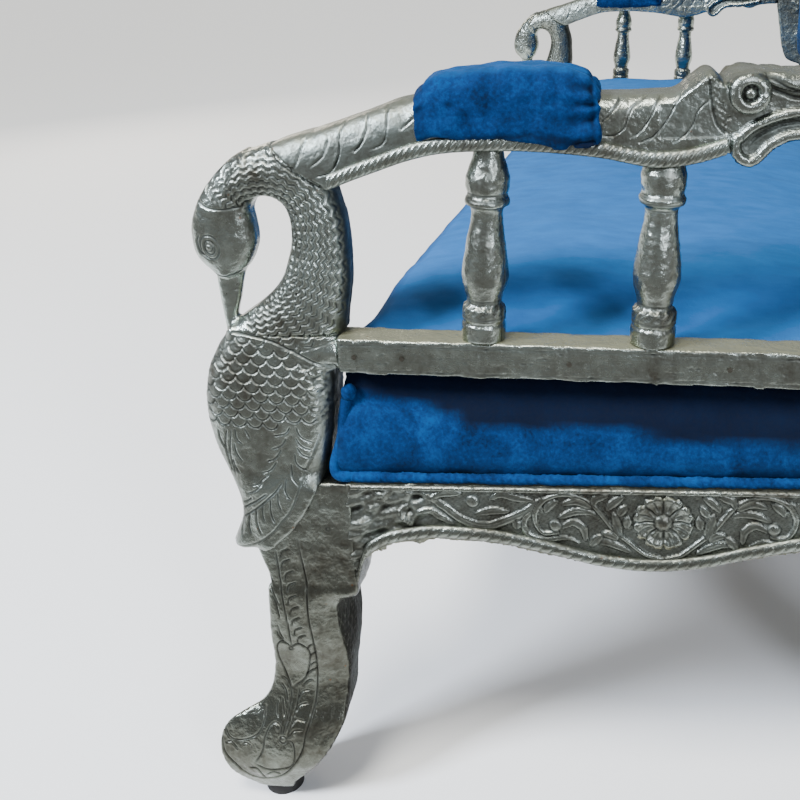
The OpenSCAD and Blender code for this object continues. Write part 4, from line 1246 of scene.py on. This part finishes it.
def carve_lower_rail(own, tips):
    """Sheet folded over a square rail: a chased line by each edge, long scratches, and a warm top."""
    down = (RAIL_TOP[1] - (own[:, 1] - RAIL_TOP[0]) * math.tan(RAIL_FALL)) - own[:, 2]
    face = smoothstep(0.5, 0.9, np.abs(tips[:, 0]))
    lines = np.exp(-((down - 4.5) / 0.7) ** 2) + np.exp(-((down - RAIL_HEIGHT + 3.5) / 0.6) ** 2)
    long = ripple(np.column_stack([own[:, 0], own[:, 1] * 0.02, own[:, 2]]), 2.2, 6)
    pits = np.clip(ripple(own, 4.5, 7) - 0.55, 0, 1)
    nicks = sum(np.exp(-((own[:, 1] - at) / 0.7) ** 2) for at in RAIL_NICKS)
    height = (-0.5 * lines + 0.1 * long - 0.5 * pits - 0.25 * nicks) * face + 0.2 * ripple(own, 34, 2)
    groove = np.clip(0.6 * lines + 0.2 * np.clip(long, 0, 1) + 0.8 * pits, 0, 1) * face
    return height, groove, smoothstep(0.6, 0.95, tips[:, 2])


# Soft pieces

def tube(points, radius, name):
    """Round velvet cord through the points, in world millimetres, closed at both ends."""
    drawn = bpy.data.curves.new(name, "CURVE")
    drawn.dimensions = "3D"
    drawn.bevel_depth = radius * MM
    drawn.bevel_resolution = 4
    drawn.use_fill_caps = True
    run = drawn.splines.new("POLY")
    run.points.add(len(points) - 1)
    for point, place in zip(run.points, points):
        point.co = (*(np.array(place) * MM), 1)
    made = object_of(drawn, name)
    graph = bpy.context.evaluated_depsgraph_get()
    mesh = bpy.data.meshes.new_from_object(made.evaluated_get(graph))
    bpy.data.objects.remove(made)
    shade(mesh, VELVET)
    return object_of(mesh, name)


def joined(made, *others):
    """Adds the meshes of the others to the first object."""
    with edited(made.data) as work:
        for piece in others:
            work.from_mesh(piece.data)
    for piece in others:
        bpy.data.objects.remove(piece)
    shade(made.data, VELVET)


def soft_copy(node, voxel, sculpt, name, hollow=None, levels=1, top_light=0.0):
    """Padded piece over a CAD form: an even mesh, sculpted and then subdivided levels times."""
    mesh = merged_copy(node, name)
    if hollow:
        close_hollow(mesh, hollow)
    made = object_of(mesh, name)
    mesh = remeshed(made, voxel)
    world = coordinates(mesh)
    out = normals(mesh)
    moved, painted_shade = sculpt(world, out)
    set_coordinates(mesh, moved)
    set_attribute(mesh, "groove", painted_shade)
    # Painted light: faces turned upwards are made paler
    set_attribute(mesh, "pale", top_light * smoothstep(0.75, 0.97, out[:, 2]))
    finer = made.modifiers.new("finer", "SUBSURF")
    finer.levels = levels
    finer.render_levels = levels
    mesh = applied(made)
    shade(mesh, VELVET)
    return made


def close_hollow(mesh, hollow):
    """Takes out the hollow for the foam and closes the opening that it leaves."""
    inner = hollow(coordinates(mesh))
    with edited(mesh) as work:
        bmesh.ops.delete(work, geom=[v for v, gone in zip(work.verts, inner) if gone], context="VERTS")
        bmesh.ops.holes_fill(work, edges=[e for e in work.edges if e.is_boundary], sides=0)
        bmesh.ops.recalc_face_normals(work, faces=work.faces)


def near_side(points):
    """World millimetres to the frame of whichever side is nearer."""
    return to_side(np.column_stack([np.abs(points[:, 0]), points[:, 1:]]))


def inset_from_side(points):
    """How far each point is inside the nearer arm's outer face."""
    return -near_side(points)[:, 0]


# Hollows in the seat cover, for the board and the foam: top, inset from the side, front and rear end
SEAT_HOLLOWS = ((327, 25, -228, 212), (417, 50, -202, 186))


def seat_hollow(points):
    """Points on the walls of the seat cover's hollows."""
    _, y, z = points.T
    inset = inset_from_side(points)
    hollow = np.zeros(len(points), bool)
    for top, inside, front, rear in SEAT_HOLLOWS:
        hollow |= (z < top) & (inset > inside) & (y > front) & (y < rear)
    return hollow


# Where the seat's side begins above its piping, and how far apart the puckers are on seat and back
SEAT_LOW = 322.0
SEAT_PUCKER = 17
BACK_PUCKER = 21
# How much lower the cushion's top is along its sides, and how far its back swells towards the back rail
SEAT_CROWN = 17.0
SEAT_BACK_FILL = 11.0
# Cord up the seat's front corner, knotted under the lower arm rail, in the side's own frame
CORNER_CORD = [(-6.5, -214, 318), (-4.2, -230, 318), (-4, -241, 318), (-4.2, -247.5, 318.5),
               (-5, -251, 321), (-6, -252, 325.5), (-7, -251, 332), (-8.5, -248, 341),
               (-10.5, -244.5, 352), (-12, -242.5, 363), (-13, -241.5, 374), (-14, -240, 382)]
CORNER_CORD_R = 4.6
CORNER_KNOT = (-14, -237.5, 388)
CORNER_KNOT_R = 6.0
# The seat's front corner as the solids have it, by height: place out and along, and how much fuller it is
CORNER_HEIGHTS = (322, 335, 350, 370, 390, 405, 425)
CORNER_OUT = (-5, -5, -7, -15, -26, -38, -38)
CORNER_ALONG = (-247, -247, -245, -241, -233, -226, -224)
CORNER_FILL = (11, 8, 5, 6, 13, 20, 16)
# Lower edge of the shade under the lower arm rail, along and up the side
SHADE_EDGE = [(-250, 388), (-228, 385), (-180, 377), (-160, 370), (-141, 361), (-26, 358), (29, 351),
              (114, 345), (230, 339)]


def corner_knot(side):
    """The knot at the top of the cord."""
    mesh = bpy.data.meshes.new("corner_knot")
    with edited(mesh) as work:
        bmesh.ops.create_icosphere(work, subdivisions=4, radius=CORNER_KNOT_R * MM)
    points = coordinates(mesh)
    points += normals(mesh) * (0.7 * ripple(points, 7, 51))[:, None]
    points[:, 2] *= 1.05
    set_coordinates(mesh, points + from_side(np.array([CORNER_KNOT]))[0] * (side, 1, 1))
    return object_of(mesh, "corner_knot")


def corner_cord(side):
    """Piping up one front corner of the seat, and its knot. side is 1 right and -1 left."""
    out, along, up = zip(*CORNER_CORD)
    flat = curve(list(zip(along, up)), 2.0)
    path = from_side(np.column_stack([np.interp(flat[:, 1], up, out), flat]))
    return tube(path * (side, 1, 1), CORNER_CORD_R, "corner_cord"), corner_knot(side)


def rail_shade(side, out):
    """Shade that the lower arm rail throws on the seat's side."""
    edge = level(SHADE_EDGE, side[:, 1])
    shaded = smoothstep(edge - 2, edge + 4, side[:, 2]) * (1 - smoothstep(0.75, 0.95, out[:, 2]))
    return shaded * smoothstep(70, 45, -side[:, 0])


def corner_share(side):
    """Share of the fuller front corner that each point takes."""
    out = side[:, 0] - np.interp(side[:, 2], CORNER_HEIGHTS, CORNER_OUT)
    along = side[:, 1] - np.interp(side[:, 2], CORNER_HEIGHTS, CORNER_ALONG)
    return np.exp(-(out / 18) ** 2 - (along / 15) ** 2)


def corner_seam(side):
    """The seam beside the corner's cord."""
    seam = np.exp(-((side[:, 1] + 243 - 0.11 * (side[:, 2] - 330)) / 1.6) ** 2) * (side[:, 0] > -22)
    return seam * smoothstep(332, 342, side[:, 2]) * (1 - smoothstep(384, 392, side[:, 2]))


def sculpt_seat(points, out):
    """Puckers along the piping, soft dents, bulging sides, a crowned top and full front corners."""
    side = near_side(points)
    along, up = side[:, 1], points[:, 2]
    wall = 1 - smoothstep(0.5, 0.85, out[:, 2])
    around = points[:, 0] * np.abs(out[:, 1]) + points[:, 1] * np.abs(out[:, 0])
    near = np.exp(-np.clip(up - SEAT_LOW, 0, 200) / 11) * wall
    pucker = np.sin(around * 2 * math.pi / SEAT_PUCKER + 2.2 * ripple(points, 60, 4)) * near
    dents = ripple(points, 130, 11) * 1.6 * (1 - wall) + ripple(points, 46, 12) * 0.7
    belly = np.sin(np.clip((up - 318) / 86, 0, 1) * math.pi) * 2.2 * wall
    seam = corner_seam(side)
    height = pucker + dents * (0.4 + 0.6 * smoothstep(330, 345, up)) + belly - 0.8 * seam
    moved = points + out * height[:, None]
    corner = corner_share(side)
    fill = np.interp(up, CORNER_HEIGHTS, CORNER_FILL) * corner
    moved[:, 0] += 0.45 * fill * np.sign(points[:, 0])
    moved[:, 1] -= 0.9 * fill
    moved[:, 2] -= 8 * corner * (1 - smoothstep(322, 336, up))
    crown = (1 - smoothstep(30, 150, -side[:, 0])) * (0.6 + 0.4 * smoothstep(-240, -190, along))
    moved[:, 2] -= SEAT_CROWN * crown * smoothstep(385, 432, up)
    behind = smoothstep(0.4, 0.8, out[:, 1]) * (along > 0) * smoothstep(330, 360, up)
    moved[:, 1] += SEAT_BACK_FILL * behind
    # Second value: painted shade in the puckers, along the piping and the corner seam, and under the arm
    # rail
    return moved, np.clip(pucker * -0.5, 0, 1) + 0.35 * near + 0.6 * seam + rail_shade(side, out)


def sculpt_back(points, out):
    """Soft dents in front and puckers along the piping."""
    own = to_back(points)
    front = smoothstep(2, 20, own[:, 0])
    dents = ripple(points, 120, 21) * 1.8 + ripple(points, 42, 22) * 0.6
    edge = np.exp(-np.clip(own[:, 0] - 12, 0, 60) / 8)
    run = points[:, 0] + own[:, 2]
    pucker = np.sin(run * 2 * math.pi / BACK_PUCKER + 2 * ripple(points, 70, 24)) * edge
    height = dents * front + 1.2 * pucker
    # Second value: painted shade in the puckers and along the piping
    return points + out * height[:, None], np.clip(-pucker, 0, 1) * 0.4 + 0.25 * edge


# Arm pad: its ends along the side, how far it hangs, how high the tuck runs, and folds round its rear end
PAD_FRONT = -170.0
PAD_REAR = -33.0
PAD_HANG = 9.0
PAD_TUCK = 597
PAD_GATHERS = 17
PAD_FRILLS = 12


def hung(moved, own, share):
    """The pad with its top drawn down, most at its ends, and its lower edge hung over the arm."""
    up = own[:, 2]
    shoulder = 3.5 * np.clip(1 - share / 0.14, 0, 1) ** 2 + 5 * np.clip((share - 0.86) / 0.14, 0, 1) ** 2
    hang = (1.5 + PAD_HANG * smoothstep(0.25, 1.0, share)) * (1 - smoothstep(590, 612, up))
    hang *= smoothstep(-36, -20, own[:, 0])
    moved[:, 2] -= (shoulder + 2.5) * smoothstep(610, 630, up) + hang
    moved[:, 0] += 0.5 * hang * smoothstep(-18, -4, own[:, 0])
    return moved


def sculpt_arm_pad(points, out):
    """Gathers at the rear end with a frilled hem, a flat hem at the front end and a tucked lower edge."""
    own = to_side(points)
    along, up = own[:, 1], own[:, 2]
    outer = own[:, 0] > -12
    angle = np.arctan2(up - 603, own[:, 0] - ARM_MIDDLE)
    share = np.clip((along - PAD_FRONT) / (PAD_REAR - PAD_FRONT), 0, 1)
    rear = np.exp(-np.clip(PAD_REAR - 7 - along, 0, 200) / 12) * (along < PAD_REAR - 5)
    frill = smoothstep(PAD_REAR - 7.5, PAD_REAR - 5.5, along)
    front = 1 - smoothstep(PAD_FRONT + 6.5, PAD_FRONT + 8.5, along)
    gather = np.cos(PAD_GATHERS * angle + 2.2 * ripple(points, 45, 31))
    hems = np.exp(-(along - PAD_FRONT - 7.5) ** 2) + np.exp(-((along - PAD_REAR + 6.8) / 1.1) ** 2)
    tuck = np.exp(-((up - PAD_TUCK - 3 * np.sin(along / 17)) / 1.8) ** 2) * outer
    tuck *= smoothstep(-165, -150, along)
    lumps = np.clip(np.sin(along / 6.5 + 1.5 * ripple(points, 30, 35)), -0.3, 1)
    lumps *= np.exp(-((up - 604) / 5) ** 2) * outer
    frilled = frill * (1.3 * np.cos(PAD_FRILLS * angle + 1.0) - 0.6)
    height = 3.0 * gather * rear + frilled - front - 1.7 * hems
    height += 2.2 * np.sin(share * math.pi) + 0.9 * ripple(points, 34, 32) + 0.45 * ripple(points, 13, 33)
    height += 0.9 * lumps - 2.0 * tuck
    # Painted shade in the gathers, along the hems and the tuck, and at the front end
    painted_shade = np.clip(-gather, 0, 1) * rear * 0.9 + 0.8 * (hems + tuck) + 0.25 * front
    return hung(points + out * height[:, None], own, share), np.clip(painted_shade, 0, 1)


# How far the seat's cord stands out along the sides, and how far apart its pleats are
CORD_OUT = 3.5
CORD_PLEAT = 8


def sculpt_cord(points, out):
    """Cloth wrapped over the cord in small pleats; the seat's cord stands out along the sides."""
    run = points[:, 0] + 1.3 * points[:, 1] + 0.9 * points[:, 2]
    pleat = np.sin(run * 2 * math.pi / CORD_PLEAT + 2.5 * ripple(points, 40, 41))
    height = 0.35 * pleat + 0.4 * ripple(points, 23, 42)
    moved = points + out * height[:, None]
    by_side = smoothstep(40, 20, inset_from_side(points)) * (points[:, 2] < 340)
    moved[:, 0] += np.sign(points[:, 0]) * CORD_OUT * by_side
    # Second value: painted shade between the pleats
    return moved, np.clip(-pleat, 0, 1) * 0.35


def build_soft():
    """Cushions, cords and arm pads."""
    seat = soft_copy("seat_cover", 9.5, sculpt_seat, "seat_velvet", seat_hollow, top_light=1.0)
    joined(seat, *corner_cord(1), *corner_cord(-1))
    join_up(seat, "seat_cover")
    back = soft_copy("back_pad", 9.5, sculpt_back, "back_velvet_pad")
    join_up(back, "back_pad")
    for node, name in (("seat_piping", "seat_cord"), ("back_piping", "back_cord")):
        cord = soft_copy(node, 2.8, sculpt_cord, name, levels=0)
        join_up(cord, node)
    right = soft_copy("arm_pad_right", 2.9, sculpt_arm_pad, "arm_velvet_right", top_light=0.25)
    left = mirrored(right, "arm_velvet_left")
    for pad, node in ((right, "arm_pad_right"), (left, "arm_pad_left")):
        join_up(pad, node)


# All pieces

def build_sides():
    """Pieces of the two sides: the right one carved, the left one its mirror image."""
    plan = (
        ("bird_post", 1.9, carve_bird, 0.25, shape_bird, 4),
        ("arm_rail", 1.9, carve_arm, 0.25, shape_arm, 2),
        ("front_leg", 2.0, carve_leg, 0.25, shape_leg, 3),
        ("side_apron", 1.9, carve_side_apron, 0.5),
        ("lower_rail", 2.6, carve_lower_rail, 0.5),
        ("front_spindle", 1.25, carve_spindle("front")),
        ("rear_spindle", 1.25, carve_spindle("rear")),
        ("back_stile", 3.0, carve_stile),
    )
    for node, *how in plan:
        right = carved(node + "_right", *how)
        left = mirrored(right, node + "_left_clad")
        join_up(right, node + "_right")
        join_up(left, node + "_left")


def build_rear_legs():
    """The front leg once more, with a coarser mesh, turned to the rear."""
    front = carved("front_leg_right", 2.6, carve_leg, shape=shape_leg, soften=1)
    rear = turned_back(front, "rear_leg_right_clad")
    bpy.data.objects.remove(front)
    join_up(rear, "rear_leg_right")
    join_up(mirrored(rear, "rear_leg_left_clad"), "rear_leg_left")


def build_cross_pieces():
    """Aprons and back rails that run from side to side."""
    plan = (
        ("front_apron", 3.4, carve_cross_apron, 0.5, FRONT),
        ("rear_apron", 3.8, carve_cross_apron, 0.5, REAR),
        ("back_crest_rail", 3.9, carve_crest, 0.5, BACK),
        ("back_bottom_rail", 8.0, plain_relief, None, BACK),
    )
    for node, voxel, relief, facing, frames in plan:
        join_up(carved(node, voxel, relief, facing, frames=frames), node)


def build_ropes():
    """Rope mouldings; the sides' are mirrored to the left."""
    plan = (
        ("arm_rope_right", 0.95, APRON_FACE, ARM_TWIST, SIDE),
        ("apron_ropes_right", 1.2, APRON_FACE, APRON_TWIST, SIDE, UPPER_ROPE),
        ("apron_ropes_front", 1.9, 0.0, APRON_TWIST, FRONT, UPPER_ROPE),
        ("apron_ropes_rear", 2.4, 0.0, APRON_TWIST, REAR, UPPER_ROPE),
    )
    for node, *how in plan:
        rope = twisted(node, *how)
        join_up(rope, node)
        if node.endswith("right"):
            other = node.replace("right", "left")
            join_up(mirrored(rope, other + "_clad"), other)


# Camera at the photograph's place

CAMERA = Vector((1.5002, 0.0354, 0.7291))
YAW, PITCH, ROLL = (math.radians(a) for a in (-13.5, -14.7, -2.95))
LENS = 46.49
SHIFT = (-0.07, -0.225)


def place_camera():
    """Looks along the sofa from beyond its right end, down a little and turned about its own axis."""
    ahead = Vector((-math.cos(YAW), math.sin(YAW), 0))
    across = Vector((math.sin(YAW), math.cos(YAW), 0))
    up = Vector((0, 0, 1))
    forward = ahead * math.cos(PITCH) + up * math.sin(PITCH)
    above = up * math.cos(PITCH) - ahead * math.sin(PITCH)
    right = across * math.cos(ROLL) + above * math.sin(ROLL)
    top = above * math.cos(ROLL) - across * math.sin(ROLL)
    made = bpy.data.objects.new("camera", bpy.data.cameras.new("camera"))
    made.data.sensor_width = 36
    made.data.lens = LENS
    made.data.shift_x, made.data.shift_y = SHIFT
    made.data.clip_start = 0.05
    made.matrix_world = Matrix((
        (right.x, top.x, -forward.x, CAMERA.x),
        (right.y, top.y, -forward.y, CAMERA.y),
        (right.z, top.z, -forward.z, CAMERA.z),
        (0, 0, 0, 1),
    ))
    bpy.context.scene.collection.objects.link(made)
    bpy.context.scene.camera = made


# Area lights: name, place, what each faces, size, power and colour
LIGHTS = (
    ("key", (2.3, -2.2, 2.3), (0.75, -0.1, 0.45), (0.7, 0.7), 200, "#E6EFFF"),
    ("side", (3.2, 1.9, 1.5), (0.7, 0, 0.4), (0.5, 1.4), 60, "#E9F0FF"),
    ("fill", (-2.6, -2.6, 1.8), (0, 0, 0.4), (1.2, 1.2), 40, "#FFF4E6"),
)
SUN_WAY = (-0.42, 0.12, -1)
SUN_POWER = 3.4
SUN_WIDTH = math.radians(18)
SURROUND_POWER = 0.36
# Floor, in metres: its reach, how many times as far it runs beyond the sofa, and where it turns dark
FLOOR_REACH = 9
FLOOR_BEYOND = 8
FLOOR_DARK = (0.85, 1.15)


def hang_light(lamp, place, way, colour):
    """Puts a light in its place, shining along way."""
    lamp.color = linear(colour)[:3]
    made = bpy.data.objects.new(lamp.name, lamp)
    made.location = place
    made.rotation_euler = Vector(way).to_track_quat("-Z", "Y").to_euler()
    bpy.context.scene.collection.objects.link(made)


def build_lights():
    """A pale surround, a soft sun from above and three area lights."""
    world = bpy.data.worlds.new("surround")
    bpy.context.scene.world = world
    world.use_nodes = True
    back = world.node_tree.nodes["Background"]
    back.inputs["Color"].default_value = linear("#EEF2F8")
    back.inputs["Strength"].default_value = SURROUND_POWER
    sun = bpy.data.lights.new("sky", "SUN")
    sun.energy = SUN_POWER
    sun.angle = SUN_WIDTH
    hang_light(sun, (0, 0, 0), SUN_WAY, "#FBFAF6")
    for name, place, target, size, power, colour in LIGHTS:
        lamp = bpy.data.lights.new(name, "AREA")
        lamp.shape = "RECTANGLE"
        lamp.size, lamp.size_y = size
        lamp.energy = power
        hang_light(lamp, place, Vector(target) - Vector(place), colour)


def build_floor():
    """Pale floor, dark on the camera's side of the sofa, that runs on beyond it so that no edge shows."""
    mesh = bpy.data.meshes.new("floor")
    with edited(mesh) as work:
        bmesh.ops.create_grid(work, x_segments=1, y_segments=1, size=FLOOR_REACH)
        for corner in work.verts:
            if corner.co.x < 0:
                corner.co *= FLOOR_BEYOND
    made, tree = new_material("pale_floor")
    outward = add(tree, "ShaderNodeSeparateXYZ", Vector=own_place(tree)).outputs["X"]
    dark = ranged(tree, outward, *FLOOR_DARK, 0.0, 1.0)
    colour = mix_colour(tree, dark, linear("#FAFAF8"), linear("#5E5B57"))
    mesh.materials.append(finished(made, tree, Base_Color=colour, Roughness=0.9))
    object_of(mesh, "floor")


finish_nodes()
build_sides()
build_rear_legs()
build_cross_pieces()
build_ropes()
build_soft()
place_camera()
build_lights()
build_floor()
